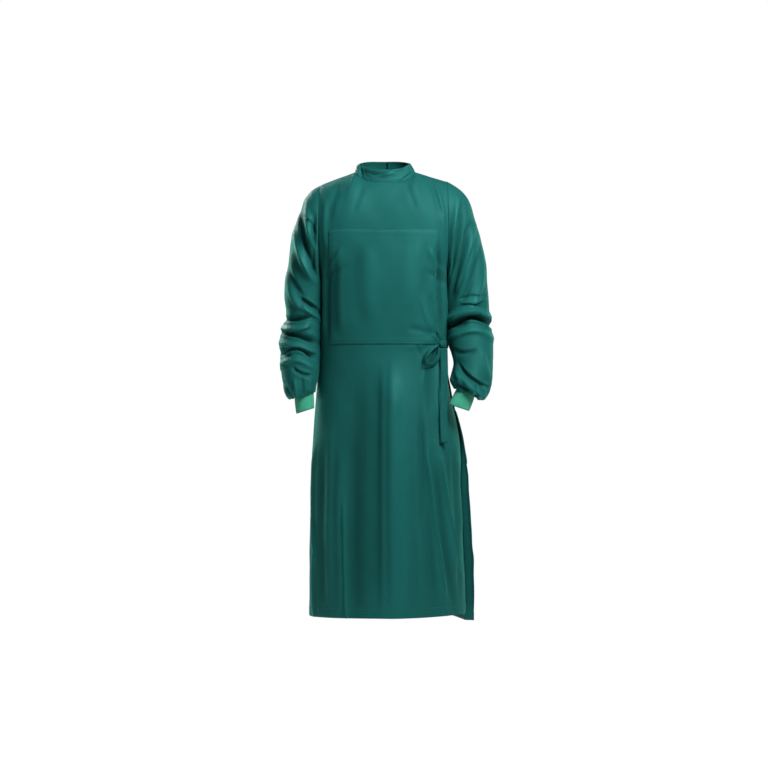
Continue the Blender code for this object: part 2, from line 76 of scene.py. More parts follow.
CHEST_LINE = -150.0
ARMHOLE_DEPTH = 78.0
Armhole = namedtuple("Armhole", "side tip_x tip_height underarm")
ARMHOLE_RIGHT = Armhole(-1, -177.0, -30.0, -270.0)
ARMHOLE_LEFT = Armhole(1, 164.5, -20.0, -280.0)

ROUNDNESS = 2.3
Section = namedtuple("Section", "height right front_left flap_left front_depth back_depth")
BODY_SECTIONS = [
    Section(-150, -181.0, 166.5, 168.5, 113, 118),
    Section(-215, -179.5, 166.0, 168.0, 124, 124),
    Section(-275, -177.0, 164.5, 167.5, 130, 127),
    Section(-340, -175.0, 163.5, 167.0, 130, 125),
    Section(-400, -175.5, 163.0, 166.5, 127, 121),
    Section(-460, -178.0, 162.0, 166.0, 123, 117),
    Section(-530, -182.0, 163.0, 167.0, 128, 122),
    Section(-600, -188.0, 174.0, 178.5, 137, 132),
    Section(-660, -192.0, 187.0, 193.0, 143, 139),
    Section(-740, -197.0, 200.0, 208.0, 149, 147),
    Section(-850, -202.0, 200.5, 219.5, 156, 156),
    Section(-960, -205.0, 205.5, 227.5, 161, 161),
    Section(-1080, -206.0, 211.5, 232.0, 165, 166),
    Section(-1190, -206.0, 214.0, 233.0, 168, 169),
]
UNDERLAP = 6.0
HEM = -1190.0
HEM_SWING_START = -700.0
FRONT_HEM_RISE = 9.0
FRONT_HEM_BOW = 5.0        # the hem's middle is pulled up a little
FLAP_HEM_DROP = 17.0
HEM_FOLD = 24.0            # width of the turned-up hem

PATCH_SIDES = (-0.627, 0.655)
PATCH_TOP = -160.0
PATCH_BOTTOM = -460.0

Edge = namedtuple("Edge", "height flap under")
BACK_EDGES = [
    Edge(0, 0.14, -0.12),
    Edge(-150, 0.34, -0.20),
    Edge(-275, 0.66, -0.28),
    Edge(-400, 0.93, -0.33),
    Edge(-460, 0.96, -0.35),
    Edge(-1190, 0.96, -0.40),
]

Ring = namedtuple("Ring", "outer_x outer_z inner_x inner_z depth forward")
SLEEVE_RIGHT = [
    Ring(-200, -44, -178.4, -286, 80, 0),
    Ring(-222, -70, -174.0, -300, 80, 0),
    Ring(-235, -107, -170.5, -315, 77, -2),
    Ring(-251, -160, -169.0, -332, 73, -4),
    Ring(-261, -214, -168.0, -350, 69, -4),
    Ring(-269, -270, -168.0, -370, 66, -2),
    Ring(-274, -325, -168.5, -392, 64, 2),
    Ring(-268, -376, -170.0, -415, 62, 6),
    Ring(-281, -420, -172.0, -442, 62, 11),
    Ring(-286, -460, -174.5, -472, 61, 18),
    Ring(-284, -505, -177.0, -508, 60, 28),
    Ring(-279, -550, -181.0, -542, 57, 41),
    Ring(-271, -588, -187.0, -570, 50, 51),
    Ring(-257, -606, -189.5, -586, 38, 56),
    Ring(-243, -592.6, -196.0, -577.6, 25, 58),
]
SLEEVE_LEFT = [
    Ring(190, -35, 166.5, -292, 80, 0),
    Ring(212, -53, 162.0, -304, 80, 0),
    Ring(228, -80, 160.0, -317, 78, -2),
    Ring(241, -125, 159.0, -332, 74, -4),
    Ring(259, -185, 158.0, -350, 70, -4),
    Ring(269, -245, 158.0, -368, 67, -2),
    Ring(276, -310, 158.0, -388, 65, 2),
    Ring(279, -370, 159.0, -410, 63, 6),
    Ring(284, -415, 162.0, -436, 63, 12),
    Ring(288, -455, 169.0, -465, 63, 22),
    Ring(288, -505, 182.0, -505, 62, 35),
    Ring(285, -550, 175.0, -539, 60, 52),
    Ring(277, -588, 171.0, -556, 53, 68),
    Ring(258, -609, 180.0, -574, 40, 76),
    Ring(238, -584.2, 190.0, -576.2, 25, 82),
]
CUFF_RIGHT = [
    Ring(-243, -595, -196.0, -580, 25, 58),
    Ring(-242, -620, -194.0, -605, 25, 60),
    Ring(-240, -646, -192.0, -630, 26, 62),
]
CUFF_LEFT = [
    Ring(238, -586, 190.0, -578, 25, 82),
    Ring(230, -614, 178.0, -602, 26, 85),
    Ring(222, -638, 167.0, -620, 27, 88),
]

TIE_HEIGHT = -459.0
TIE_WIDTH = 20.0
KNOT_CENTRE = (150.0, -77.6, -459.0)
KNOT_RADII = (9.5, 6.5, 8.5)
STRAP_START = 104.0
STRAP_END = 59.0
LOOP_START = (140.3, -465.5)
LOOP_STANDS_OFF = 13.8
LOOP_LENGTH = 60.0
LOOP_HALF_WIDTH = 17.0
LOOP_MOUTH = 1.6
LOOP_LEAN = 33.0
LOOP_TAPE_WIDTH = 17.0
LOOP_FLARE = math.radians(-40)
TapeEnd = namedtuple("TapeEnd", "name x top bottom lean out top_out width")
TIE_ENDS = [
    TapeEnd("tie_end_front", 154.5, -470.6, -722, 0.0, 9.8, 5.2, 20.0),
    TapeEnd("tie_end_back", 154.5, -470.9, -655, -3.5, 3.4, 9.0, 20.0),
]
NECK_KNOT_CENTRE = (24.0, 61.6, 22.0)
NECK_KNOT_RADII = (8.0, 5.5, 8.0)
NECK_ENDS = [
    TapeEnd("neck_tie_end_long", 20.0, 14, -150, -6.0, 2.8, 4.4, 12.0),
    TapeEnd("neck_tie_end_short", 33.0, 14, -118, 6.0, 2.8, 6.0, 12.0),
]

# ---------------------------------------------------------------- creases

# A crease runs through three points seen square on: half width and height at its middle,
# and skew, which makes one flank steeper than the other.
Crease = namedtuple("Crease", "x0 z0 x1 z1 x2 z2 width height skew")
FRONT_CREASES = [
    # long folds that fall from the tie to the hem
    Crease(104, -690, 128, -930, 172, -1215, 15, 7.0, 0.4),
    Crease(108, -740, 129, -930, 170, -1240, 3.2, 6.0, 0.3),
    Crease(138, -660, 164, -905, 214, -1110, 14, 7.0, 0.4),
    Crease(145, -730, 166, -905, 214, -1120, 3.0, 5.5, 0.3),
    Crease(134, -760, 148, -950, 190, -1210, 11, -6.0, 0.0),
    Crease(90, -640, 104, -860, 134, -1210, 13, -6.0, 0.2),
    Crease(176, -700, 188, -930, 200, -1210, 7, -3.5, 0.0),
    Crease(193, -760, 198, -870, 201, -985, 4, 2.4, 0.0),
    # the skirt's own quiet folds
    Crease(24, -470, 22, -860, 26, -1330, 58, 11.0, 0.0),
    Crease(-112, -860, -110, -1020, -104, -1260, 3.6, 6.0, -0.3),
    Crease(-120, -700, -124, -950, -116, -1215, 15, 3.5, -0.3),
    Crease(-86, -700, -88, -960, -82, -1210, 17, -4.5, 0.0),
    Crease(-20, -500, -22, -800, -20, -1290, 15, -9.0, 0.4),
    Crease(16, -480, 14, -820, 20, -1290, 16, 8.5, -0.3),
    Crease(-66, -500, -70, -820, -66, -1290, 36, -9.0, 0.0),
    Crease(94, -560, 92, -800, 92, -960, 7, -3.4, 0.0),
    Crease(64, -600, 66, -900, 68, -1200, 15, -4.0, 0.0),
    Crease(-184, -700, -197, -880, -186, -1060, 4, 5.5, 0.0),
    Crease(-186, -1000, -195, -1090, -188, -1225, 4, 5.5, 0.0),
    Crease(-166, -700, -172, -940, -168, -1210, 11, -5.0, 0.0),
    Crease(-144, -620, -150, -900, -146, -1200, 10, 2.8, 0.0),
    # pulled by the waist tie
    Crease(130, -424, 141, -442, 152, -460, 3.6, -5.5, 0.5),
    Crease(122, -430, 134, -446, 148, -460, 4.0, 2.6, 0.0),
    Crease(120, -488, 137, -468, 154, -458, 4.2, -5.0, 0.4),
    Crease(138, -466, 106, -510, 96, -610, 8, 4.4, 0.4),
    Crease(136, -480, 120, -550, 118, -660, 8, -4.0, 0.0),
    Crease(142, -490, 138, -580, 142, -680, 7, 4.0, 0.0),
    Crease(128, -452, 92, -463, 40, -474, 9, 2.0, 0.3),
    Crease(128, -438, 92, -424, 52, -418, 9, -2.2, 0.0),
    Crease(128, -430, 104, -380, 94, -318, 9, 2.8, 0.3),
    Crease(140, -428, 124, -376, 116, -318, 7, -3.0, 0.0),
    Crease(80, -460, 86, -476, 94, -494, 5, -2.4, 0.0),
    # chest and shoulders
    Crease(-74, -180, -82, -300, -56, -440, 20, -3.2, 0.0),
    Crease(-40, -190, -46, -290, -30, -400, 20, 1.8, 0.0),
    Crease(-136, -200, -142, -320, -136, -448, 10, -2.6, 0.0),
    Crease(-114, -210, -120, -320, -112, -448, 9, 1.6, 0.0),
    Crease(60, -190, 58, -280, 70, -400, 20, 1.8, 0.0),
    Crease(98, -170, 104, -280, 96, -400, 13, -2.6, 0.0),
    Crease(118, -18, 136, -66, 152, -130, 6, -3.0, 0.3),
    Crease(134, -40, 148, -100, 156, -190, 7, 2.6, 0.0),
    Crease(-118, -22, -140, -76, -152, -150, 9, -2.4, 0.0),
    Crease(-160, -60, -164, -140, -158, -220, 7, 2.4, 0.0),
    Crease(-60, -26, -74, -70, -92, -120, 8, -1.6, 0.0),
    Crease(54, -26, 66, -62, 82, -108, 8, -1.6, 0.0),
    Crease(-168, -262, -140, -240, -112, -196, 7, 2.6, 0.3),
    Crease(-170, -286, -138, -272, -100, -244, 8, -2.4, 0.0),
    Crease(158, -268, 134, -242, 112, -196, 7, 2.4, -0.3),
    Crease(160, -296, 138, -284, 104, -262, 8, -2.2, 0.0),
    Crease(-153, -210, -156, -330, -154, -460, 6, -5.0, 0.0),
    Crease(-166, -230, -165, -330, -166, -460, 6, 3.5, 0.0),
    Crease(138, -180, 142, -310, 149, -450, 8, -10.0, 0.0),
    Crease(153, -230, 156, -340, 158, -450, 6, 5.0, 0.0),
]
BACK_CREASES = [
    Crease(-122, -520, -132, -860, -142, -1205, 15, 12.8, 0.2),
    Crease(-88, -560, -94, -880, -100, -1205, 16, -9.6, 0.0),
    Crease(-44, -640, -52, -900, -56, -1205, 15, 9.6, 0.2),
    Crease(8, -470, 6, -860, 4, -1205, 20, 12.8, -0.2),
    Crease(46, -560, 50, -860, 60, -1205, 15, -9.6, 0.0),
    Crease(92, -520, 104, -860, 120, -1205, 15, 11.2, 0.2),
    Crease(138, -500, 156, -860, 176, -1205, 13, -8.0, 0.0),
    Crease(-170, -640, -180, -900, -182, -1205, 12, 8.0, 0.0),
    Crease(150, -460, 100, -474, 30, -480, 10, 5.4, 0.3),
    Crease(148, -450, 96, -438, 20, -424, 10, -5.4, 0.0),
    Crease(146, -440, 104, -400, 60, -330, 11, 6.4, 0.3),
    Crease(148, -474, 110, -520, 78, -600, 11, 6.4, 0.0),
    Crease(-60, -130, -50, -240, -20, -400, 18, 6.4, 0.0),
    Crease(-110, -150, -100, -270, -84, -420, 16, -5.4, 0.0),
    Crease(40, -120, 52, -220, 90, -330, 14, 4.8, 0.0),
    Crease(-160, -120, -150, -220, -140, -320, 12, 4.8, 0.0),
]
# Sleeves: creases on the front and the back of each
SLEEVE_RIGHT_FRONT = [
    Crease(-219, -36, -227, -158, -178, -292, 7, -13.0, -0.4),
    Crease(-248, -90, -240, -178, -182, -312, 8, 10.0, 0.4),
    Crease(-212, -84, -203, -158, -178, -236, 6, 6.0, 0.0),
    Crease(-220, -104, -202, -138, -176, -176, 4.5, -7.0, 0.0),
    Crease(-188, -96, -192, -190, -188, -290, 8, -10.0, 0.0),
    Crease(-262, -190, -260, -262, -210, -348, 8, -6.0, 0.3),
    Crease(-272, -246, -258, -310, -216, -378, 8, 6.0, 0.3),
    Crease(-232, -334, -202, -352, -160, -384, 6, -10.0, 0.4),
    Crease(-228, -350, -200, -370, -160, -402, 7, 7.0, 0.4),
    Crease(-320, -386, -250, -396, -196, -384, 6, -12.0, -0.5),
    Crease(-312, -404, -250, -412, -196, -400, 7, 10.0, 0.5),
    Crease(-300, -426, -240, -440, -156, -468, 7, -14.0, -0.5),
    Crease(-300, -446, -244, -460, -164, -486, 8, 8.0, 0.3),
    Crease(-306, -466, -276, -486, -246, -494, 6, -6.0, 0.0),
    Crease(-300, -512, -240, -472, -180, -520, 6, -9.5, -0.4),
    Crease(-304, -532, -242, -496, -178, -540, 8, 8.0, 0.4),
    Crease(-252, -518, -226, -536, -190, -544, 5, -7.0, 0.3),
    Crease(-282, -548, -262, -582, -248, -610, 6, -7.0, 0.0),
    Crease(-246, -546, -240, -576, -238, -606, 5, 5.0, 0.0),
    Crease(-226, -546, -222, -572, -222, -602, 5, -5.0, 0.0),
    Crease(-208, -538, -204, -562, -210, -590, 5, 4.5, 0.0),
]
SLEEVE_RIGHT_BACK = [
    Crease(-200, -66, -226, -170, -180, -318, 10, -9.0, 0.4),
    Crease(-250, -130, -242, -250, -190, -360, 9, 7.0, 0.3),
    Crease(-300, -384, -236, -390, -164, -386, 7, -9.0, 0.4),
    Crease(-300, -404, -238, -412, -160, -402, 8, 8.5, 0.4),
    Crease(-300, -446, -244, -472, -164, -486, 7, 7.5, -0.4),
    Crease(-304, -466, -250, -490, -190, -508, 7, -6.0, 0.3),
    Crease(-304, -530, -246, -522, -178, -540, 7, 7.0, 0.0),
    Crease(-300, -512, -250, -506, -180, -520, 6, -7.0, 0.0),
    Crease(-268, -552, -246, -580, -236, -606, 6, -4.5, 0.0),
    Crease(-226, -548, -222, -576, -224, -602, 5, 4.0, 0.0),
]
SLEEVE_LEFT_FRONT = [
    Crease(160, -362, 196, -250, 230, -96, 9, -15.0, 0.4),
    Crease(168, -290, 190, -180, 206, -66, 8, -10.0, 0.3),
    Crease(172, -346, 214, -230, 246, -116, 8, 8.0, -0.4),
    Crease(184, -380, 236, -270, 260, -156, 8, -6.5, 0.0),
    Crease(208, -392, 254, -300, 272, -200, 8, 5.5, 0.0),
    Crease(196, -46, 186, -110, 172, -196, 7, 5.0, 0.0),
    Crease(278, -262, 266, -330, 236, -398, 8, -4.5, 0.0),
    Crease(136, -450, 236, -390, 332, -466, 7, -19.0, -0.5),
    Crease(136, -420, 234, -363, 332, -434, 10, 13.0, 0.5),
    Crease(140, -474, 236, -416, 328, -486, 9, 9.0, 0.4),
    Crease(146, -404, 184, -408, 226, -394, 9, -10.0, 0.0),
    Crease(192, -352, 232, -343, 278, -340, 5, 4.5, -0.3),
    Crease(196, -338, 224, -331, 256, -328, 3.5, -3.5, 0.0),
    Crease(170, -466, 206, -482, 246, -472, 7, -6.0, 0.3),
    Crease(188, -496, 226, -547, 290, -580, 6, -9.5, 0.5),
    Crease(184, -516, 220, -564, 272, -602, 7, 8.0, 0.4),
    Crease(176, -462, 190, -520, 196, -574, 6, 6.0, 0.0),
    Crease(256, -460, 266, -520, 290, -562, 8, 4.5, 0.0),
    Crease(176, -556, 200, -573, 232, -580, 5, -7.0, 0.3),
    Crease(238, -566, 240, -588, 238, -612, 5, -5.0, 0.0),
    Crease(264, -560, 262, -584, 256, -610, 5, 4.5, 0.0),
]
SLEEVE_LEFT_BACK = [
    Crease(176, -86, 212, -200, 170, -340, 9, -9.0, 0.4),
    Crease(240, -130, 230, -250, 178, -370, 9, 7.0, 0.3),
    Crease(154, -400, 230, -390, 310, -398, 7, 9.0, 0.5),
    Crease(150, -418, 232, -408, 312, -418, 6, -10.0, -0.4),
    Crease(150, -440, 232, -428, 312, -440, 8, 8.0, 0.4),
    Crease(176, -476, 232, -502, 304, -500, 7, -7.0, 0.4),
    Crease(180, -526, 234, -542, 296, -572, 7, 7.0, 0.3),
    Crease(200, -556, 216, -576, 222, -602, 5, -4.5, 0.0),
    Crease(254, -560, 252, -584, 246, -610, 5, 4.0, 0.0),
]
COLLAR_CREASES = [
    Crease(-72, 10, -36, -3, 10, -1, 9.0, -4.8, 0.2),
    Crease(-44, -9, -4, -3, 44, 12, 4.5, 2.2, 0.4),
    Crease(-30, -14, 6, -9, 36, -4, 3.2, -1.6, 0.0),
    Crease(-74, 30, -75, 8, -70, -18, 4.0, 3.2, 0.0),
    Crease(-66, 28, -67, 8, -62, -18, 2.6, -3.0, 0.0),
    Crease(-56, 4, -44, -6, -30, -16, 4.0, 1.4, 0.0),
    Crease(28, -20, 46, -10, 62, 6, 4.0, 1.8, 0.0),
    Crease(40, -16, 56, -6, 70, 6, 3.6, -2.0, 0.3),
    Crease(10, 8, 40, 12, 66, 24, 4.0, 1.6, 0.3),
    Crease(14, 0, 34, 4, 56, 14, 3.2, -1.6, 0.0),
]

# Slow undulations of loose cloth: wave numbers per metre across and down, phase, height
Drift = namedtuple("Drift", "across down phase height")
DRIFTS = [
    Drift(5.0, 1.3, 0.4, 0.9),
    Drift(-3.1, 3.7, 1.9, 0.7),
    Drift(8.7, -4.3, 3.2, 0.45),
    Drift(13.0, 7.9, 5.1, 0.25),
    Drift(-17.0, 12.1, 0.9, 0.18),
]

# ---------------------------------------------------------------- shapes


def smooth(at, heights, values):
    """Read a table between its rows along a cubic that passes through every row."""
    order = np.argsort(heights)
    x = np.asarray(heights, float)[order]
    y = np.asarray(values, float)[order]
    slope = np.gradient(y, x)
    at = np.clip(at, x[0], x[-1])
    k = np.clip(np.searchsorted(x, at) - 1, 0, len(x) - 2)
    step = x[k + 1] - x[k]
    t = (at - x[k]) / step
    return ((1 + 2 * t) * (1 - t) ** 2 * y[k] + t * (1 - t) ** 2 * step * slope[k]
            + t ** 2 * (3 - 2 * t) * y[k + 1] - t ** 2 * (1 - t) * step * slope[k + 1])


def column(table, name):
    """One column of a table."""
    return [getattr(row, name) for row in table]


def body_value(name, height):
    """One size of the body at a height."""
    return smooth(height, column(BODY_SECTIONS, "height"), column(BODY_SECTIONS, name))


def ease(t):
    """A share that starts and ends softly."""
    t = np.clip(t, 0.0, 1.0)
    return t * t * (3 - 2 * t)


def bell(distance, width):
    """One at no distance, falling to nothing within about two widths."""
    return np.exp(-(distance / width) ** 2)


def unit(vectors):
    """The same directions, each of length one."""
    size = np.linalg.norm(vectors, axis=-1, keepdims=True)
    return vectors / np.maximum(size, 1e-9)


def superellipse(share, most=1.0):
    """One coordinate of a unit superellipse from the other: their powers add up to one."""
    return (1 - np.clip(share, 0, most) ** ROUNDNESS) ** (1 / ROUNDNESS)


def cut_fraction(height, hole, depth):
    """The share of a whole section that is left at the armhole's oval, 1 below it."""
    drop = np.clip((CHEST_LINE - height) / (CHEST_LINE - hole.underarm), 0, 1)
    return superellipse(ARMHOLE_DEPTH * np.sqrt(1 - drop ** 2) / depth)


def level_section(share, height, face, left, inset=0.0):
    """A point of the body below the chest line.

    x follows the sine of an angle that runs with the share.  y follows a superellipse,
    cut off at the armhole's edge above the underarm.
    """
    depth = body_value(face + "_depth", height) - inset
    right_x = body_value("right", height)
    left_x = body_value(left, height)
    centre = (right_x + left_x) / 2
    half = (left_x - right_x) / 2
    fraction = np.sin(np.abs(share) * math.pi / 2)
    cut = np.where(share < 0, cut_fraction(height, ARMHOLE_RIGHT, depth),
                   cut_fraction(height, ARMHOLE_LEFT, depth))
    x = centre + np.sign(share) * half * fraction
    y = depth * superellipse(fraction * cut)
    return x, -y if face == "front" else y, height + 0 * share


def top_edge(share, face, inset=0.0):
    """The neckline's oval in the middle, then the straight shoulder seam to its tip."""
    turn = np.clip(share / NECK_SHARE, -1, 1) * math.pi / 2
    beyond = np.clip((np.abs(share) - NECK_SHARE) / (1 - NECK_SHARE), 0, 1)
    tip_x = np.where(share < 0, ARMHOLE_RIGHT.tip_x, ARMHOLE_LEFT.tip_x)
    tip_z = np.where(share < 0, ARMHOLE_RIGHT.tip_height, ARMHOLE_LEFT.tip_height)
    neck_x = NECK_CENTRE + NECK_HALF_WIDTH * np.sin(turn)
    y = (NECK_DEPTH[face] - inset) * np.cos(turn)
    middle = NECK_MID_HEIGHT[face]
    neck_z = middle + (NECK_SIDE_HEIGHT - middle) * np.sin(turn) ** 4
    x = neck_x + (tip_x - neck_x) * beyond
    z = neck_z + (tip_z - neck_z) * beyond
    return x, -y if face == "front" else y, z


def yoke(share, fall, face, left, inset=0.0):
    """A point between the top edge and the chest line.

    Over the shoulder each column is a quarter of an oval; under the neckline it is
    straighter.
    """
    x0, y0, z0 = top_edge(share, face, inset)
    x1, y1, z1 = level_section(share, CHEST_LINE + 0 * share, face, left, inset)
    bend = 0.4 + 0.6 * ease(np.abs(share) / NECK_SHARE)
    quarter = fall * math.pi / 2
    down = (1 - bend) * fall + bend * (1 - np.cos(quarter))
    out = (1 - bend) * fall + bend * np.sin(quarter)
    across = np.sin(quarter) ** 2
    return x0 + (x1 - x0) * across, y0 + (y1 - y0) * out, z0 + (z1 - z0) * down


def normals(grid, outwards=1):
    """The outward direction at each point of a grid whose rows run down the body."""
    along = np.gradient(grid, axis=1)
    down = np.gradient(grid, axis=0)
    return unit(np.cross(down, along) * outwards)


CREASE_STEPS = 41
CREASE_FADE = 0.24         # share of a crease's length over which each end fades


def crease_lift(creases, x, z):
    """The height of all creases at points seen square on.

    Each crease is a curve through its three points.  Across it the height is a ridge
    (or trough) between two shallow valleys; along it the height fades at both ends.
    """
    total = np.zeros_like(x)
    t = np.linspace(0, 1, CREASE_STEPS)
    for c in creases:
        bend_x = 2 * c.x1 - (c.x0 + c.x2) / 2
        bend_z = 2 * c.z1 - (c.z0 + c.z2) / 2
        line_x = (1 - t) ** 2 * c.x0 + 2 * t * (1 - t) * bend_x + t ** 2 * c.x2
        line_z = (1 - t) ** 2 * c.z0 + 2 * t * (1 - t) * bend_z + t ** 2 * c.z2
        reach = 4 * c.width
        near = ((x > line_x.min() - reach) & (x < line_x.max() + reach)
                & (z > line_z.min() - reach) & (z < line_z.max() + reach))
        px, pz = x[near], z[near]
        gap = (px[:, None] - line_x) ** 2 + (pz[:, None] - line_z) ** 2
        k = np.argmin(gap, axis=1)
        run_x, run_z = np.gradient(line_x), np.gradient(line_z)
        size = np.hypot(run_x, run_z)
        side = ((px - line_x[k]) * run_z[k] - (pz - line_z[k]) * run_x[k]) / size[k]
        along = ((px - line_x[k]) * run_x[k] + (pz - line_z[k]) * run_z[k]) / size[k] ** 2
        share = (k + along) / (len(t) - 1)
        fade = ease(share / CREASE_FADE) * ease((1 - share) / CREASE_FADE)
        s = side / (c.width * (1 + c.skew * np.sign(side)))
        total[near] += c.height * fade * (1 - 0.45 * s ** 2) * np.exp(-0.55 * s ** 2)
    return total


def drift_lift(x, z):
    """Slow waves of loose cloth, a sum of sines in millimetres."""
    total = np.zeros_like(x)
    for d in DRIFTS:
        total += d.height * np.sin(2 * math.pi * MM * (d.across * x + d.down * z) + d.phase)
    return total


def walked(points, axis=0):
    """The length of the way to each point, along a line or one axis of a grid."""
    steps = np.linalg.norm(np.diff(points, axis=axis), axis=-1)
    lengths = np.cumsum(steps, axis=axis)
    start = np.zeros_like(np.take(lengths, [0], axis=axis))
    return np.concatenate([start, lengths], axis=axis)


def read_along(way, values, at):
    """A line's values at some lengths of its way."""
    return np.stack([np.interp(at, way, values[:, k]) for k in range(3)], axis=1)


def arc_lengths(grid):
    """Cloth coordinates in metres: across from the middle column, and down its length."""
    middle = grid.shape[1] // 2
    across = walked(grid, axis=1)
    across = across - across[:, middle:middle + 1]
    down = walked(grid[:, middle])
    return np.stack([across, down[:, None] + 0 * across], axis=2) * MM


def edge_distance(grid, sides):
    """The distance in millimetres to the nearest of the named edges of a grid."""
    across = walked(grid, axis=1)
    down = walked(grid, axis=0)
    choices = {"first": across, "last": across[:, -1:] - across,
               "top": down, "bottom": down[-1:] - down}
    return np.min([choices[side] for side in sides], axis=0)


def soften(grid, times):
    """Even out a grid's rows: each row moves half way to the mean of its neighbours."""
    for _ in range(times):
        grid = grid.copy()
        grid[1:-1] = 0.5 * grid[1:-1] + 0.25 * (grid[:-2] + grid[2:])
    return grid


PANEL_SOFTENING = 6        # rounds of evening out between the yoke and the level rows


def panel_base(face, left, shares, yoke_rows, heights, inset=0.0, hem=None):
    """A body panel without its creases: rows of the yoke, then level rows to the hem."""
    rows = []
    for k in range(yoke_rows):
        fall = k / yoke_rows
        rows.append(np.stack(yoke(shares(CHEST_LINE * fall), fall, face, left, inset), axis=1))
    for height in heights:
        share = shares(height)
        x, y, z = level_section(share, height + 0 * share, face, left, inset)
        if hem:
            z = z + hem(share) * ease((HEM_SWING_START - height) / (HEM_SWING_START - HEM))
        rows.append(np.stack([x, y, z], axis=1))
    grid = soften(np.array(rows), PANEL_SOFTENING)
    grid[..., 1] += (-1 if face == "front" else 1) * SEAM_GAP / 2
    return grid


def front_lift(x, z):
    """All that raises or lowers the front's cloth."""
    return crease_lift(FRONT_CREASES, x, z) + drift_lift(x, z)


def front_surface(share, yoke_rows, heights):
    """The front panel's points and outward directions, creases included."""
    base = panel_base("front", "front_left", lambda height: share, yoke_rows, heights,
                      hem=lambda s: FRONT_HEM_RISE * ease(s) + FRONT_HEM_BOW * (1 - s * s))
    out = normals(base)
    held = ease(edge_distance(base, ["first", "last", "top"]) / SEAM_HOLD)
    return base + out * (front_lift(base[..., 0], base[..., 2]) * held)[..., None], out


def edge_share(name, height):
    """Where a back panel's free edge lies at a height."""
    return smooth(height, column(BACK_EDGES, "height"), column(BACK_EDGES, name))


BACK_DRIFT_SHIFT = 130.0   # the back's slow waves are the front's, read this far aside


def back_surface(shares, left, yoke_rows, heights, sewn, inset=0.0, hem=None):
    """A back panel's points and outward directions, creases included."""
    base = panel_base("back", left, shares, yoke_rows, heights, inset, hem)
    out = normals(base, -1)
    lift = crease_lift(BACK_CREASES, base[..., 0], base[..., 2])
    lift += drift_lift(base[..., 0] + BACK_DRIFT_SHIFT, base[..., 2])
    lift *= ease(edge_distance(base, sewn) / SEAM_HOLD)
    return base + out * lift[..., None], out


def armhole_ring(hole, angles):
    """The armhole's oval, a gap outside the body's edge; angle 0 is the shoulder tip."""
    upper = np.cos(angles) > 0
    reach = np.where(upper, hole.tip_height - CHEST_LINE, CHEST_LINE - hole.underarm)
    z = CHEST_LINE + reach * np.cos(angles)
    side = "right" if hole.side < 0 else "front_left"
    chest_x = body_value(side, np.array([CHEST_LINE]))[0]
    above = hole.tip_x + (chest_x - hole.tip_x) * np.sin(angles) ** 2
    x = np.where(upper, above, body_value(side, z)) + hole.side * ARMHOLE_GAP
    y = -ARMHOLE_DEPTH * np.sin(angles)
    return np.stack([x, y, z], axis=1)


def ring_points(outer_x, outer_z, inner_x, inner_z, depth, forward, angles):
    """Rings: ovals with one axis from outer to inner point, the other front to back."""
    outer = np.stack([outer_x, -forward, outer_z], axis=-1)[:, None, :]
    inner = np.stack([inner_x, -forward, inner_z], axis=-1)[:, None, :]
    front = np.stack([0 * depth, -depth, 0 * depth], axis=-1)[:, None, :]
    turn = angles[None, :, None]
    return (outer + inner) / 2 + np.cos(turn) * (outer - inner) / 2 + np.sin(turn) * front


def ring_rows(rings, steps, angles):
    """Close rows of rings, read along the ring table with a smooth cubic."""
    at = np.linspace(0, len(rings) - 1, steps)
    number = np.arange(len(rings))
    values = [smooth(at, number, column(rings, name)) for name in Ring._fields]
    return ring_points(*values, angles)


def closed_normals(grid, outwards):
    """Outward directions on a tube whose columns close on themselves."""
    wide = np.concatenate([grid[:, -1:], grid, grid[:, :1]], axis=1)
    return normals(wide, outwards)[:, 1:-1]


# ---------------------------------------------------------------- meshes


def mesh_object(name, points, faces, uvs=None, attributes=None):
    """A named mesh from points in millimetres, with cloth coordinates and attributes."""
    mesh = bpy.data.meshes.new(name)
    flat = np.ascontiguousarray(points.reshape(-1, 3) * MM, dtype=np.float32)
    mesh.vertices.add(len(flat))
    mesh.vertices.foreach_set("co", flat.ravel())
    corners = faces.ravel().astype(np.int32)
    mesh.loops.add(len(corners))
    mesh.loops.foreach_set("vertex_index", corners)
    mesh.polygons.add(len(faces))
    mesh.polygons.foreach_set("loop_start", np.arange(len(faces), dtype=np.int32)
                              * faces.shape[1])
    mesh.update(calc_edges=True)
    if uvs is not None:
        layer = mesh.uv_layers.new(name="cloth")
        layer.data.foreach_set("uv", uvs.reshape(-1, 2)[corners].astype(np.float32).ravel())
    for key, values in (attributes or {}).items():
        attribute = mesh.attributes.new(key, "FLOAT", "POINT")
        attribute.data.foreach_set("value", np.asarray(values, np.float32).ravel())
    mesh.shade_smooth()
    thing = bpy.data.objects.new(name, mesh)
    bpy.context.scene.collection.objects.link(thing)
    return thing


def grid_faces(rows, columns, closed=False, flip=False):
    """The four-sided faces of a grid; closed joins its last column to the first."""
    r = np.arange(rows - 1)[:, None]
    c = np.arange(columns if closed else columns - 1)[None, :]
    d = (c + 1) % columns
    faces = np.stack([r * columns + c, (r + 1) * columns + c,
                      (r + 1) * columns + d, r * columns + d], axis=-1).reshape(-1, 4)
    return faces[:, ::-1] if flip else faces


def cloth_piece(name, grid, wall, material, node, closed=False, flip=False,
                uvs=None, seam=0.0, fold_light_and_polish=0.0):
    """A wall of cloth on a grid, thickened both ways, which stands for a CAD node."""
    rows, columns = grid.shape[:2]
    if uvs is None:
        uvs = arc_lengths(grid)
    zero = np.zeros((rows, columns))
    # Masks that the materials read: painted shade in seams, and painted fold light with
    # smoother crests
    values = {"seam": zero + seam, "fold_light_and_polish": zero + fold_light_and_polish}
    piece = mesh_object(name, grid, grid_faces(rows, columns, closed, flip), uvs, values)
    piece.data.materials.append(material)
    thicken = piece.modifiers.new("wall", "SOLIDIFY")
    thicken.thickness = wall * MM
    thicken.offset = 0.0
    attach(piece, "root")
    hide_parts(node)
    return piece


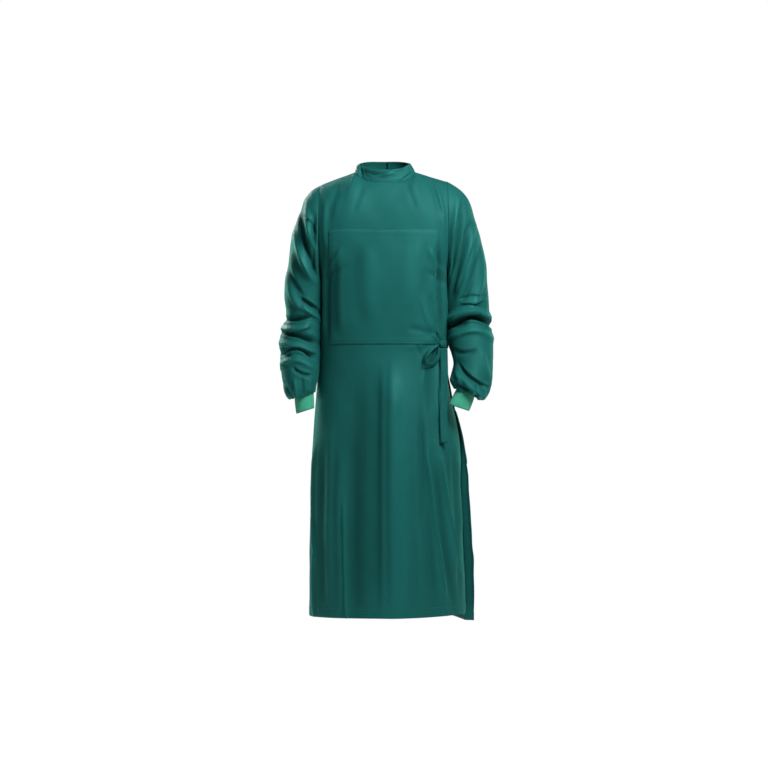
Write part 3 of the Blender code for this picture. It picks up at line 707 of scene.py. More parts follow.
STITCH_PITCH = 3.4
STITCH_LENGTH = 2.5
STITCH_WIDTH = 0.5
STITCH_HEIGHT = 0.35
STITCH_AIM = 0.5           # how far ahead along its run a stitch looks for its direction


def stitches(name, runs, material):
    """Rows of thread stitches, each a small spindle that lies along its run.

    A run is a line of surface points with their outward directions.  It is walked at
    even steps, and each step takes one spindle: a diamond ring between two tips.
    """
    shape = np.array([[-1, 0, 0], [-0.4, 1, 0.1], [-0.4, 0, 1], [-0.4, -1, 0.1],
                      [0.4, 1, 0.1], [0.4, 0, 1], [0.4, -1, 0.1], [1, 0, 0]])
    shape = shape * np.array([STITCH_LENGTH / 2, STITCH_WIDTH, STITCH_HEIGHT])
    links = np.array([[0, 2, 1], [0, 3, 2], [1, 2, 5], [1, 5, 4], [2, 3, 6], [2, 6, 5],
                      [4, 5, 7], [5, 6, 7], [0, 1, 3], [1, 4, 3], [3, 4, 6], [4, 7, 6]])
    points, faces = [], []
    total = 0
    for line, out in runs:
        way = walked(line)
        at = np.arange(STITCH_PITCH / 2, way[-1] - STITCH_PITCH / 2, STITCH_PITCH)
        centre = read_along(way, line, at)
        ahead = unit(read_along(way, line, at + STITCH_AIM) - centre)
        aside = unit(np.cross(read_along(way, out, at), ahead))
        axes = np.stack([ahead, aside, np.cross(ahead, aside)], axis=1)
        spindles = centre[:, None, :] + np.einsum("vk,nkj->nvj", shape, axes)
        points.append(spindles.reshape(-1, 3))
        number = np.arange(len(at))[:, None, None] * len(shape) + total
        faces.append((links[None] + number).reshape(-1, 3))
        total += len(at) * len(shape)
    piece = mesh_object(name, np.concatenate(points), np.concatenate(faces))
    piece.data.materials.append(material)
    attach(piece, "root")


# ---------------------------------------------------------------- materials


class Value:
    """A socket whose arithmetic adds Math nodes."""

    def __init__(self, recipe, socket):
        self.recipe = recipe
        self.socket = socket

    def __add__(self, other):
        return self.recipe.math("ADD", self, other)

    __radd__ = __add__

    def __sub__(self, other):
        return self.recipe.math("SUBTRACT", self, other)

    def __rsub__(self, other):
        return self.recipe.math("SUBTRACT", other, self)

    def __mul__(self, other):
        return self.recipe.math("MULTIPLY", self, other)

    __rmul__ = __mul__


class Recipe:
    """One material: its nodes are made and joined here."""

    def __init__(self, name):
        self.material = bpy.data.materials.new(name)
        self.material.use_nodes = True
        self.tree = self.material.node_tree
        self.shader = self.tree.nodes["Principled BSDF"]

    def node(self, kind, settings=None, inputs=None):
        """Make a node, set its settings, then give its inputs a value or a link."""
        made = self.tree.nodes.new(kind)
        for key, value in (settings or {}).items():
            setattr(made, key, value)
        for key, value in (inputs or {}).items():
            self.give(made.inputs[key], value)
        return made

    def give(self, socket, value):
        """Link a Value to a socket, or set the socket's own number."""
        if isinstance(value, Value):
            self.tree.links.new(value.socket, socket)
        else:
            socket.default_value = value

    def math(self, operation, *values):
        """A Math node's result."""
        made = self.node("ShaderNodeMath", {"operation": operation},
                         dict(enumerate(values)))
        return Value(self, made.outputs[0])

    def sine(self, value):
        """The sine of a value in radians."""
        return self.math("SINE", value)

    def scale_colour(self, colour, factor):
        """A colour made lighter or darker by a number."""
        grey = self.node("ShaderNodeCombineXYZ", None, {0: factor, 1: factor, 2: factor})
        made = self.node("ShaderNodeMix", {"data_type": "RGBA", "blend_type": "MULTIPLY"},
                         {"Factor": 1.0, 6: colour, 7: Value(self, grey.outputs[0])})
        return Value(self, made.outputs[2])

    def place(self):
        """The piece's own place in space, in metres."""
        return Value(self, self.node("ShaderNodeTexCoord").outputs["Object"])

    def cloth_axes(self):
        """Cloth coordinates in metres, across and down the piece."""
        made = self.node("ShaderNodeUVMap", {"uv_map": "cloth"})
        parts = self.node("ShaderNodeSeparateXYZ", None,
                          {0: Value(self, made.outputs[0])})
        return Value(self, parts.outputs[0]), Value(self, parts.outputs[1])

    def attribute(self, name):
        """A number carried by the mesh."""
        made = self.node("ShaderNodeAttribute", {"attribute_name": name})
        return Value(self, made.outputs["Fac"])

    def noise(self, scale, detail):
        """Soft noise from 0 to 1; scale is how many of its clouds fit in a metre."""
        made = self.node("ShaderNodeTexNoise", None,
                         {"Vector": self.place(), "Scale": scale,
                          "Detail": detail, "Roughness": 0.55})
        return Value(self, made.outputs["Fac"])

    def bump(self, height, distance):
        """A Bump node on a height from 0 to 1, which stands for a distance in metres."""
        made = self.node("ShaderNodeBump", None,
                         {"Height": height, "Distance": distance, "Strength": 1.0})
        return Value(self, made.outputs[0])

    def finish(self, **inputs):
        """Set the shader's sockets and hand the material over."""
        for key, value in inputs.items():
            self.give(self.shader.inputs[key.replace("_", " ")], value)
        return self.material


# Weave, knit and thread, in metres
TWILL_PITCH = 0.0011       # from one diagonal wale to the next
YARN_PITCH = 0.00055
WEAVE_RELIEF = 0.00012
CUFF_ROUND = 0.157
CUFF_LENGTH = 0.052
KNIT_WALES = 60            # columns of loops round a cuff
LOOP_PITCH = 0.0016        # from loop to loop down a column
LOOP_SLANT = 1.4
KNIT_RELIEF = 0.00025
THREAD_RELIEF = 0.0001

PAINTED_FOLD_LIGHT = 0.14         # painted highlight: cloth is this much lighter on a crest; painted shade: this much darker in a trough
CREST_POLISH = 0.08        # and this much smoother
# Painted shade in seams, stitch channels and edges; the knit's is where a cuff rolls in
SEAM_SHADE = 0.13
KNIT_SEAM_SHADE = 0.45


def woven_cloth(name, colour, roughness, sheen):
    """Fine twill: diagonal wales over yarns and slubs, smoother crests with a painted
    highlight, painted shade in troughs and painted shade in seams.
    """
    recipe = Recipe(name)
    across, down = recipe.cloth_axes()
    wale = recipe.sine((across + down) * (2 * math.pi / TWILL_PITCH)) * 0.5 + 0.5
    yarn = recipe.sine(across * (2 * math.pi / YARN_PITCH)) * 0.25 + 0.5
    cloud = recipe.noise(5.0, 4.0)
    fine = recipe.noise(900.0, 2.0)
    slub = recipe.noise(60.0, 3.0)
    fold_light_and_polish = recipe.attribute("fold_light_and_polish")
    seam = recipe.attribute("seam")
    # Colour: random clouds, slubs and weave, plus painted highlight on crests, painted shade
    # in troughs and painted shade in seams
    shade = (0.90 + 0.12 * cloud + 0.05 * slub + 0.05 * wale + 0.05 * fine
             + PAINTED_FOLD_LIGHT * fold_light_and_polish - SEAM_SHADE * seam)
    height = wale * 0.6 + yarn * 0.25 + fine * 0.5 + slub * 1.2
    return recipe.finish(
        Base_Color=recipe.scale_colour((*colour, 1.0), shade),
        Roughness=roughness - CREST_POLISH * fold_light_and_polish + 0.06 * slub,
        Normal=recipe.bump(height, WEAVE_RELIEF),
        Sheen_Weight=sheen, Sheen_Roughness=0.35, Sheen_Tint=(0.10, 0.75, 0.60, 1.0),
        Specular_IOR_Level=0.18, Specular_Tint=(0.25, 1.0, 0.85, 1.0))


def rib_knit(name, colour):
    """Rib knit: columns of small loops, each a slanting bump."""
    recipe = Recipe(name)
    across, down = recipe.cloth_axes()
    wales = recipe.sine(across * (2 * math.pi * KNIT_WALES / CUFF_ROUND))
    loops = recipe.sine(down * (2 * math.pi / LOOP_PITCH) + LOOP_SLANT * wales) * 0.5 + 0.5
    fluff = recipe.noise(1400.0, 3.0)
    cloud = recipe.noise(25.0, 3.0)
    seam = recipe.attribute("seam")
    # The seam mask darkens the knit where the cuff rolls in: painted shade
    shade = (0.86 + 0.12 * loops + 0.08 * fluff + 0.10 * cloud + 0.07 * wales
             - KNIT_SEAM_SHADE * seam)
    return recipe.finish(
        Base_Color=recipe.scale_colour((*colour, 1.0), shade),
        Roughness=0.78 + 0.1 * fluff,
        Normal=recipe.bump(loops + 0.8 * fluff, KNIT_RELIEF),
        Sheen_Weight=0.35, Sheen_Roughness=0.6, Sheen_Tint=(0.6, 1.0, 0.8, 1.0),
        Specular_IOR_Level=0.25)


def thread(name, colour):
    """Polished sewing thread with a fine twist."""
    recipe = Recipe(name)
    twist = recipe.noise(2600.0, 2.0)
    return recipe.finish(
        Base_Color=recipe.scale_colour((*colour, 1.0), 0.85 + 0.3 * twist),
        Roughness=0.45 + 0.1 * twist, Normal=recipe.bump(twist, THREAD_RELIEF))


CLOTH_COLOUR = (0.0068, 0.0780, 0.0720)
# The chest panel's cloth is a little lighter than the rest: painted light on the chest
PATCH_COLOUR = (0.0071, 0.0810, 0.0745)
# The back's is a touch darker than the front's
BACK_COLOUR = (0.0066, 0.0760, 0.0700)
CUFF_COLOUR = (0.024, 0.300, 0.190)
THREAD_COLOUR = (0.012, 0.115, 0.105)

cloth = woven_cloth("green twill", CLOTH_COLOUR, 0.52, 0.16)
patch_cloth = woven_cloth("green twill, chest panel", PATCH_COLOUR, 0.50, 0.16)
back_cloth = woven_cloth("green twill, back", BACK_COLOUR, 0.54, 0.14)
tape = woven_cloth("green twill tape", CLOTH_COLOUR, 0.56, 0.12)
knit = rib_knit("mint rib knit", CUFF_COLOUR)
sewing_thread = thread("green sewing thread", THREAD_COLOUR)

# ---------------------------------------------------------------- body panels

BODY_ROWS = 170
HEM_BAND = 40.0            # above the hem the rows are closer
HEM_ROWS = 16
HEM_LINES = np.concatenate([np.linspace(CHEST_LINE, HEM + HEM_BAND, BODY_ROWS),
                            np.linspace(HEM + HEM_BAND, HEM, HEM_ROWS)[1:]])

# How finely each panel is divided
GridSize = namedtuple("GridSize", "columns rows")
FRONT_SIZE = GridSize(184, 40)     # rows in the yoke
FLAP_SIZE = GridSize(150, 34)
UNDER_SIZE = GridSize(84, 30)
PATCH_SIZE = GridSize(118, 122)    # rows from its top to its bottom
PATCH_RUN_IN = [-150.0, -155.0]    # heights above the chest panel, softened and then cut off
PATCH_LEAST_LIFT = 1.35

# A seam: how deep and how wide the cloth rolls in, and how dark the painted shade along its
# line is
Seam = namedtuple("Seam", "depth width shade")
PLAIN_SEAM = Seam(0.7, 3.0, 1.0)
# The seams on the wearer's right roll in deeper and carry more painted shade than those on the
# left
FRONT_SEAMS = {"right": Seam(1.0, 4.0, 1.0), "left": Seam(0.3, 3.0, 0.3)}
SLEEVE_SEAMS = {-1: Seam(1.2, 5.0, 1.0), 1: Seam(0.3, 3.0, 0.3)}
HEM_DIP = Seam(0.5, 1.6, 0.4)      # the channel that a hem's stitches pull
EDGE_DIP = Seam(0.35, 1.4, 0.35)   # and the chest panel's
HEM_STEP = 0.35            # how much the turned-up hem stands out
HEM_PUCKER = 0.5
HEM_PUCKER_REACH = 9.0
SEAM_LINE = 2.2            # half width of a seam's line of painted shade
STITCH_LINE = 1.2
EDGE_STITCH = 5.0          # from the chest panel's edge to its stitches
LIP_STITCH = 12.0          # from the outer panel's free edge to its stitches
COLLAR_STITCH = 4.5


def seam_dip(distance, seam=PLAIN_SEAM):
    """How far cloth rolls in towards a seam."""
    return -seam.depth * bell(distance, seam.width)


def hem_stitch_dip(distance):
    """The step of a turned-up hem, and the shallow channel that its stitches pull."""
    return seam_dip(distance - HEM_FOLD, HEM_DIP) + HEM_STEP * (distance < HEM_FOLD)


def hem_pucker(x, distance, seed):
    """Small uneven puckers that the hem's stitches gather."""
    wave = np.sin(0.31 * x + seed) * np.sin(0.073 * x + 2.1 * seed)
    return HEM_PUCKER * wave * bell(distance - HEM_FOLD, HEM_PUCKER_REACH)


# The mask of painted fold light: a lift of CREST_HEIGHT counts as one, and painted shade in
# troughs may reach further than painted highlight on crests
CREST_HEIGHT = 5.0
COLLAR_CREST_HEIGHT = 1.6
DEEPEST_TROUGH = -2.4
HIGHEST_CREST = 1.4


def fold_light_mask(lift):
    """How much a point stands on a crest: its height, held between a low and a high. It sets
    the painted highlight on crests, the painted shade in troughs and the smoother crests.
    """
    return np.clip(lift / CREST_HEIGHT, DEEPEST_TROUGH, HIGHEST_CREST)


def build_front():
    """The front panel, with its hem, its seams and the creases of the whole front."""
    share = np.linspace(-1, 1, FRONT_SIZE.columns)
    grid, out = front_surface(share, FRONT_SIZE.rows, HEM_LINES)
    hem = edge_distance(grid, ["bottom"])
    right, left = edge_distance(grid, ["first", "top"]), edge_distance(grid, ["last"])
    lift = (seam_dip(right, FRONT_SEAMS["right"]) + seam_dip(left, FRONT_SEAMS["left"])
            + hem_stitch_dip(hem) + hem_pucker(grid[..., 0], hem, 0.7))
    grid = grid + out * lift[..., None]
    # Painted highlight on crests and painted shade in troughs; painted shade along the seams
    # and the hem's stitch channel, fainter on the wearer's left
    fold_light_and_polish = fold_light_mask(front_lift(grid[..., 0], grid[..., 2]))
    seam = (bell(right, SEAM_LINE) + FRONT_SEAMS["left"].shade * bell(left, SEAM_LINE)
            + HEM_DIP.shade * bell(hem - HEM_FOLD, STITCH_LINE))
    piece = cloth_piece("front_panel_cloth", grid, CLOTH_WALL, cloth, "front_panel",
                        seam=seam, fold_light_and_polish=fold_light_and_polish)
    return piece, grid, out


# Puckers along the chest panel's first and last edges
Pucker = namedtuple("Pucker", "column pitch height seed")
PATCH_PUCKERS = [Pucker(0, 15.0, 0.8, 0.4), Pucker(-1, 19.0, 0.5, 1.9)]
PUCKER_REACH = 7.0
LAST_EDGE_SHADE = 1.3      # the panel's edge on the wearer's left is in shadow


def edge_puckers(x, z, pucker):
    """Short puckers across a sewn edge, uneven in place and depth.

    Down the edge their height is a sine whose phase and size both wander by slower sines.
    """
    pitch, seed = pucker.pitch, pucker.seed
    wave = np.sin(2 * math.pi * z / pitch + 1.7 * np.sin(z / (2.3 * pitch) + seed))
    uneven = 0.55 + 0.45 * np.sin(z / (1.9 * pitch) + 2 * seed)
    edge_x = x[:, pucker.column][:, None]
    return pucker.height * wave * uneven * bell(x - edge_x, PUCKER_REACH)


def build_patch():
    """The chest panel: a second layer made from the front's points, moved out."""
    share = np.linspace(*PATCH_SIDES, PATCH_SIZE.columns)
    heights = np.linspace(PATCH_TOP, PATCH_BOTTOM, PATCH_SIZE.rows)
    yoke_rows = 2
    base = panel_base("front", "front_left", lambda height: share, yoke_rows,
                      np.concatenate([PATCH_RUN_IN, heights]))
    out = normals(base)
    grid = base + out * front_lift(base[..., 0], base[..., 2])[..., None]
    run_in = yoke_rows + len(PATCH_RUN_IN)
    grid, out = grid[run_in:], out[run_in:]
    x, z = grid[..., 0], grid[..., 2]
    edge = edge_distance(grid, ["first", "last", "top", "bottom"])
    lift = PATCH_LIFT - 0.5 * bell(edge, 2.0) + seam_dip(edge - EDGE_STITCH, EDGE_DIP)
    for pucker in PATCH_PUCKERS:
        lift += edge_puckers(x, z, pucker)
    lift += 0.5 * bell(edge - 12.0, 6.0)
    grid = grid + out * np.maximum(lift, PATCH_LEAST_LIFT)[..., None]
    # Painted highlight on crests and painted shade in troughs; painted shade along the edges
    # and stitches, deepest on the wearer's left edge
    fold_light_and_polish = fold_light_mask(front_lift(x, z) + lift - PATCH_LIFT)
    seam = 0.8 * bell(edge, 1.6) + EDGE_DIP.shade * bell(edge - EDGE_STITCH, STITCH_LINE)
    seam = seam + LAST_EDGE_SHADE * bell(edge_distance(grid, ["last"]), SEAM_LINE)
    piece = cloth_piece("chest_panel_cloth", grid, CLOTH_WALL, patch_cloth, "chest_panel",
                        seam=seam, fold_light_and_polish=fold_light_and_polish)
    return piece, grid, out


LIP = 24.0                 # the strip along the outer panel's free edge that turns back
LIP_REACH = 150.0          # how far round the back the cloth behind it is drawn in
LIP_TURN = 15.0
LIP_OUT = 6.0
LIP_TOP = HEM_SWING_START + 90.0
LIP_GROWS = 160.0          # how far below its top the lip is fully turned
LIP_CLEARANCE = 3.2


def lip_pull(grid, free):
    """How far the outer panel is drawn in behind its free edge, and its lip turned back.

    From LIP on, the cloth is drawn towards the inner panel's side, and let go again
    further round the back; the lip alone stands out and faces the front.
    """
    x, y, z = grid[..., 0], grid[..., 1], grid[..., 2]
    depth = body_value("back_depth", z) - UNDERLAP
    right, left = body_value("right", z), body_value("front_left", z)
    inner = (right + left) / 2 + (left - right) / 2 * superellipse(y / depth, 0.98)
    low = ease((LIP_TOP - z) / LIP_GROWS)
    on_lip = 1 - ease(free / LIP)
    held = ease(free / LIP) * ease((LIP_REACH - free) / (LIP_REACH - 2 * LIP)) * low
    pull = held * np.maximum(x - inner - LIP_CLEARANCE, 0) - LIP_OUT * on_lip * low
    return pull, LIP_TURN * on_lip * low


def build_flap():
    """The outer back panel, which laps over the inner one to the wearer's left."""
    def shares(height):
        return np.linspace(-1, edge_share("flap", height), FLAP_SIZE.columns)

    grid, out = back_surface(shares, "flap_left", FLAP_SIZE.rows, HEM_LINES,
                             ["first", "top"], hem=lambda s: -FLAP_HEM_DROP * ease(s))
    hem = edge_distance(grid, ["bottom"])
    side = edge_distance(grid, ["first", "top"])
    free = edge_distance(grid, ["last"])
    pull, turn_out = lip_pull(grid, free)
    grid[..., 0] -= pull
    grid[..., 1] += turn_out
    x, z = grid[..., 0], grid[..., 2]
    lift = seam_dip(side) + hem_stitch_dip(hem) + hem_pucker(x, hem, 2.2)
    lift += 0.7 * np.sin(z / 17.0 + 1.3 * np.sin(z / 41.0)) * bell(free, 16)
    grid = grid + out * lift[..., None]
    # Painted fold light; painted shade along the side seam, the hem's stitches and the lip's
    # stitches
    fold_light_and_polish = fold_light_mask(crease_lift(BACK_CREASES, grid[..., 0], grid[..., 2]))
    seam = (bell(side, SEAM_LINE) + HEM_DIP.shade * bell(hem - HEM_FOLD, STITCH_LINE)
            + HEM_DIP.shade * bell(free - LIP_STITCH, STITCH_LINE))
    piece = cloth_piece("outer_back_cloth", grid, CLOTH_WALL, back_cloth, "back_panel_right",
                        flip=True, seam=seam, fold_light_and_polish=fold_light_and_polish)
    return piece, grid, out


def build_under():
    """The inner back panel, sewn to the front's left side."""
    def shares(height):
        return np.linspace(edge_share("under", height), 1, UNDER_SIZE.columns)

    grid, out = back_surface(shares, "front_left", UNDER_SIZE.rows, HEM_LINES[::2],
                             ["last", "top"], inset=UNDERLAP)
    side = edge_distance(grid, ["last", "top"])
    hem = edge_distance(grid, ["bottom"])
    grid = grid + out * (seam_dip(side) + hem_stitch_dip(hem))[..., None]
    # Painted fold light, and painted shade along the side seam
    fold_light_and_polish = fold_light_mask(crease_lift(BACK_CREASES, grid[..., 0], grid[..., 2]))
    return cloth_piece("inner_back_cloth", grid, CLOTH_WALL, back_cloth, "back_panel_left",
                       flip=True, seam=bell(side, SEAM_LINE), fold_light_and_polish=fold_light_and_polish)


# ---------------------------------------------------------------- sleeves and cuffs

SLEEVE_AROUND = 160
SLEEVE_ROWS = 250
CAP_ROWS = 12              # from the armhole to the sleeve's first ring
SLEEVE_SOFTENING = 5
SLEEVE_ROUND = 0.36        # metres of cloth coordinate round a sleeve
BODY_CLEARANCE = 1.9
STRAP_CLEARANCE = 3.6
STRAP_REACH = 15.0
SLEEVE_SAG = 1.0           # how far a roll of cloth hangs over, for each unit it stands out
SAG_LIMIT = 8.0
CALM_OUTSIDE = 0.5         # how much flatter the creases are on a sleeve's outer side
CALM_INSIDE = 0.6          # and on its inner side, by the body
CREASES_FULL = 0.07        # share of a sleeve's rows over which its creases grow
CREASES_CALM = 0.955       # from this share on they calm towards the cuff
GATHERS_START = 0.90
GATHERS_FULL = 0.985
GATHER_HEIGHT = 1.1
CLIP_FROM = 0.25           # a sleeve's first and last rows are left where they are sewn
SLEEVE_SEAM_LINE = 2.0


def gathers(angles, rows):
    """Uneven gathers round a sleeve's end, which grow towards it and calm in the cuff."""
    wave = (np.sin(15 * angles + 0.8 * np.sin(3 * angles))
            + 0.6 * np.sin(23 * angles + 1.1 + np.sin(2 * angles)))
    reach = ease((rows - GATHERS_START) / (GATHERS_FULL - GATHERS_START))
    in_cuff = 1 - 0.6 * ease((rows - GATHERS_FULL) / (1 - GATHERS_FULL))
    return GATHER_HEIGHT * wave[None, :] * reach[:, None] * in_cuff[:, None]


def rest_outside(grid, hole, keep):
    """The x of a sleeve's points, held just off the body's side and the waist strap.

    At each point the body's own x is that of its superellipse at the same y and z.
    """
    x, y, z = grid[..., 0], grid[..., 1], grid[..., 2]
    front = y < 0
    depth = np.where(front, body_value("front_depth", z), body_value("back_depth", z))
    right = body_value("right", z)
    left = np.where(front, body_value("front_left", z), body_value("flap_left", z))
    reach = (left - right) / 2 * superellipse(np.abs(y) / depth, 0.99) + BODY_CLEARANCE
    if hole.side > 0:
        reach = reach + STRAP_CLEARANCE * bell(z - TIE_HEIGHT, STRAP_REACH)
    limit = (left + right) / 2 + hole.side * reach
    inside = (x - limit) * hole.side < 0
    return np.where(inside & (keep > CLIP_FROM), limit, x)


def build_sleeve(name, hole, rings, front_creases, back_creases, node):
    """A sleeve: its armhole ring and its rings, with the creases of front and back.

    Both sets of creases are seen square on, so each fades where the cloth turns away.
    """
    angles = np.linspace(0, 2 * math.pi, SLEEVE_AROUND, endpoint=False)
    start = armhole_ring(hole, angles)[None]
    body = ring_rows(rings, SLEEVE_ROWS, angles)
    share = np.linspace(0, 1, CAP_ROWS, endpoint=False)[:, None, None]
    cap = start + (body[:1] - start) * (share * 0.6 + 0.4 * share ** 2)
    grid = soften(np.concatenate([cap, body]), SLEEVE_SOFTENING)
    outwards = -1 if hole.side < 0 else 1
    out = closed_normals(grid, -outwards)
    x, z = grid[..., 0], grid[..., 2]
    facing = ease(0.5 - 1.6 * out[..., 1])
    behind = ease(0.5 + 1.6 * out[..., 1])
    away = hole.side * out[..., 0]
    calm = (1 - CALM_OUTSIDE * ease((away - 0.5) / 0.45)
            - CALM_INSIDE * ease((-away - 0.5) / 0.4))
    rows = np.linspace(0, 1, len(grid))
    by_cuff = ease((rows - CREASES_CALM) / 0.045)
    keep = (ease(rows / CREASES_FULL) * (1 - 0.75 * by_cuff))[:, None]
    lift = crease_lift(front_creases, x, z) * facing
    lift = lift + crease_lift(back_creases, x, z) * behind + 0.8 * drift_lift(x * 1.6, z)
    edge = walked(grid.mean(axis=1))[:, None] + 0 * x
    sewn = SLEEVE_SEAMS[hole.side]
    lift = lift * keep * calm + seam_dip(edge, sewn)
    lift = lift + gathers(angles, rows)
    grid = grid + out * lift[..., None]
    grid[..., 2] -= SLEEVE_SAG * np.clip(lift, 0, SAG_LIMIT) * keep
    grid[..., 0] = rest_outside(grid, hole, keep)
    around = angles[None, :] / (2 * math.pi) * SLEEVE_ROUND + 0 * x
    # Painted fold light on the sleeve's creases, and painted shade along the armhole seam,
    # stronger on the right sleeve
    return cloth_piece(name, grid, CLOTH_WALL, cloth, node, closed=True,
                       flip=hole.side > 0, uvs=np.stack([around, edge * MM], axis=2),
                       seam=bell(edge, SLEEVE_SEAM_LINE) * sewn.shade,
                       fold_light_and_polish=fold_light_mask(lift))


RIBS = 56
RIB_HEIGHT = 0.42
POINTS_PER_RIB = 6
CUFF_ROWS = 30


def build_cuff(name, rings, node, flip):
    """A rib-knit cuff: a tube whose wall waves in ribs and rolls in at its lower edge."""
    angles = np.linspace(0, 2 * math.pi, RIBS * POINTS_PER_RIB, endpoint=False)
    grid = ring_rows(rings, CUFF_ROWS, angles)
    away = unit(grid - grid.mean(axis=1, keepdims=True))
    rows = np.linspace(0, 1, len(grid))[:, None]
    uneven = 1 + 0.3 * np.sin(5 * angles + 1.0)[None, :]
    ribs = RIB_HEIGHT * np.cos(RIBS * angles)[None, :] * uneven
    lift = ribs * (1 - ease((rows - 0.93) / 0.07))
    lift = lift - 1.1 * ease((rows - 0.94) / 0.06) - 0.5 * bell(rows, 0.08)
    lift = lift + 0.7 * np.sin(2 * angles[None, :] + 5 * rows)
    grid = grid + away * lift[..., None]
    around = angles[None, :] / (2 * math.pi) * CUFF_ROUND + 0 * rows
    length = CUFF_LENGTH * rows + 0 * around
    # Painted shade where the cuff rolls in at its lower edge
    return cloth_piece(name, grid, KNIT_WALL, knit, node, closed=True,
                       flip=flip, uvs=np.stack([around, length], axis=2),
                       seam=0.9 * ease((rows - 0.90) / 0.08))


# ---------------------------------------------------------------- collar and ties


COLLAR_COLUMNS = 260
COLLAR_ROWS = 26
COLLAR_BELLY = 1.2
COLLAR_LAP_START = 140.0   # degrees round from the front


def build_collar():
    """The collar band: it leans in as it rises, and its over end laps the other."""
    turn = np.radians(np.linspace(COLLAR_OVER_END, COLLAR_UNDER_END, COLLAR_COLUMNS))
    front = np.cos(turn) > 0
    side = np.sin(turn) ** 4

    def pick(pair):
        return np.where(front, pair["front"], pair["back"])

    lap = COLLAR_LAP * ease((-np.degrees(turn) - COLLAR_LAP_START) / 30)
    foot_z = pick(NECK_MID_HEIGHT) + (NECK_SIDE_HEIGHT - pick(NECK_MID_HEIGHT)) * side
    top_z = pick(COLLAR_TOP_MID) + (COLLAR_TOP_SIDE - pick(COLLAR_TOP_MID)) * side
    foot_z = foot_z - pick(COLLAR_TUCK) - 1.0
    share = np.linspace(0, 1, COLLAR_ROWS)[:, None]
    half = NECK_HALF_WIDTH + (COLLAR_TOP_HALF_WIDTH - NECK_HALF_WIDTH) * share + lap
    depth = pick(NECK_DEPTH) + (pick(COLLAR_TOP_DEPTH) - pick(NECK_DEPTH)) * share + lap
    belly = COLLAR_BELLY * np.sin(math.pi * share)
    x = NECK_CENTRE + (half + belly) * np.sin(turn)
    y = -(depth + belly) * np.cos(turn)
    z = foot_z + (top_z - foot_z) * share
    grid = np.stack([x + 0 * z, y + 0 * z, z], axis=2)
    out = normals(grid, -1)
    edge = edge_distance(grid, ["top", "bottom"])
    lift = (crease_lift(COLLAR_CREASES, grid[..., 0], grid[..., 2]) * front[None, :]
            - 0.45 * bell(edge - COLLAR_STITCH, 1.1) - 0.5 * bell(edge, 1.4))
    grid = grid + out * lift[..., None]
    # Painted shade along the edges and the stitches, and painted fold light on the front's
    # creases
    seam = 0.5 * bell(edge, 1.3) + 0.4 * bell(edge - COLLAR_STITCH, 1.0)
    fold_light_and_polish = np.clip(lift / COLLAR_CREST_HEIGHT, DEEPEST_TROUGH, 1)
    piece = cloth_piece("collar_cloth", grid, BAND_WALL, cloth, "collar_band",
                        flip=True, seam=seam, fold_light_and_polish=fold_light_and_polish)
    return piece, grid, out


def face_y(points, x, z):
    """How far out the cloth lies at x and z: the y of the nearest point of its grid."""
    away = (points[:, 0] - np.reshape(x, (-1, 1))) ** 2
    away = away + (points[:, 2] - np.reshape(z, (-1, 1))) ** 2
    return points[np.argmin(away, axis=1), 1]


def smoothed(values, window):
    """A running mean over a window of points, with the ends held."""
    padded = np.pad(values, window // 2, mode="edge")
    return np.convolve(padded, np.ones(window) / window, "valid")


TAPE_COLUMNS = 9
TAPE_STITCH = 0.72         # where a tape's edge is sewn, as a share of its half width


def build_tape(name, middle, across, width, node):
    """One stretch of tape along its middle line, faintly cupped and rippled."""
    place = np.linspace(-1, 1, TAPE_COLUMNS)[None, :]
    grid = middle[:, None, :] + unit(across)[:, None, :] * place[..., None] / 2 * width
    share = np.linspace(0, 1, len(grid))[:, None]
    from_stitch = np.abs(place) - TAPE_STITCH
    lift = (0.5 * place ** 2 + 0.35 * np.sin(23 * share + 2 * place)
            - 0.25 * bell(from_stitch, 0.12))
    grid = grid + normals(grid) * lift[..., None]
    # Painted shade along the stitched lines
    return cloth_piece(name, grid, TAPE_WALL, tape, node,
                       seam=0.5 * bell(from_stitch, 0.10))


STRAP_STEPS = 60
STRAP_LIFT = 2.0           # from the body's section to the strap's middle
LOOP_STEPS = 90
END_STEPS = 70


def build_strap():
    """The strap from the outer back panel's edge, round the side to the knot.

    It follows the body's superellipse, moved out: each coordinate is a power of the
    sine or the cosine of its turn.
    """
    turn = np.radians(np.linspace(STRAP_START, STRAP_END, STRAP_STEPS))
    height = np.full(turn.shape, TIE_HEIGHT)
    right = body_value("right", height)
    left = body_value("flap_left", height)
    half = (left - right) / 2 + STRAP_LIFT
    depth = np.where(turn > math.pi / 2, body_value("back_depth", height),
                     body_value("front_depth", height)) + STRAP_LIFT
    power = 2 / ROUNDNESS
    x = (left + right) / 2 + half * np.abs(np.sin(turn)) ** power
    y = -np.sign(np.cos(turn)) * depth * np.abs(np.cos(turn)) ** power
    middle = np.stack([x, y, height], axis=1)
    up = np.tile([0.0, 0.0, 1.0], (len(turn), 1))
    return build_tape("waist_strap_tape", middle, up, TIE_WIDTH, "waist_strap")


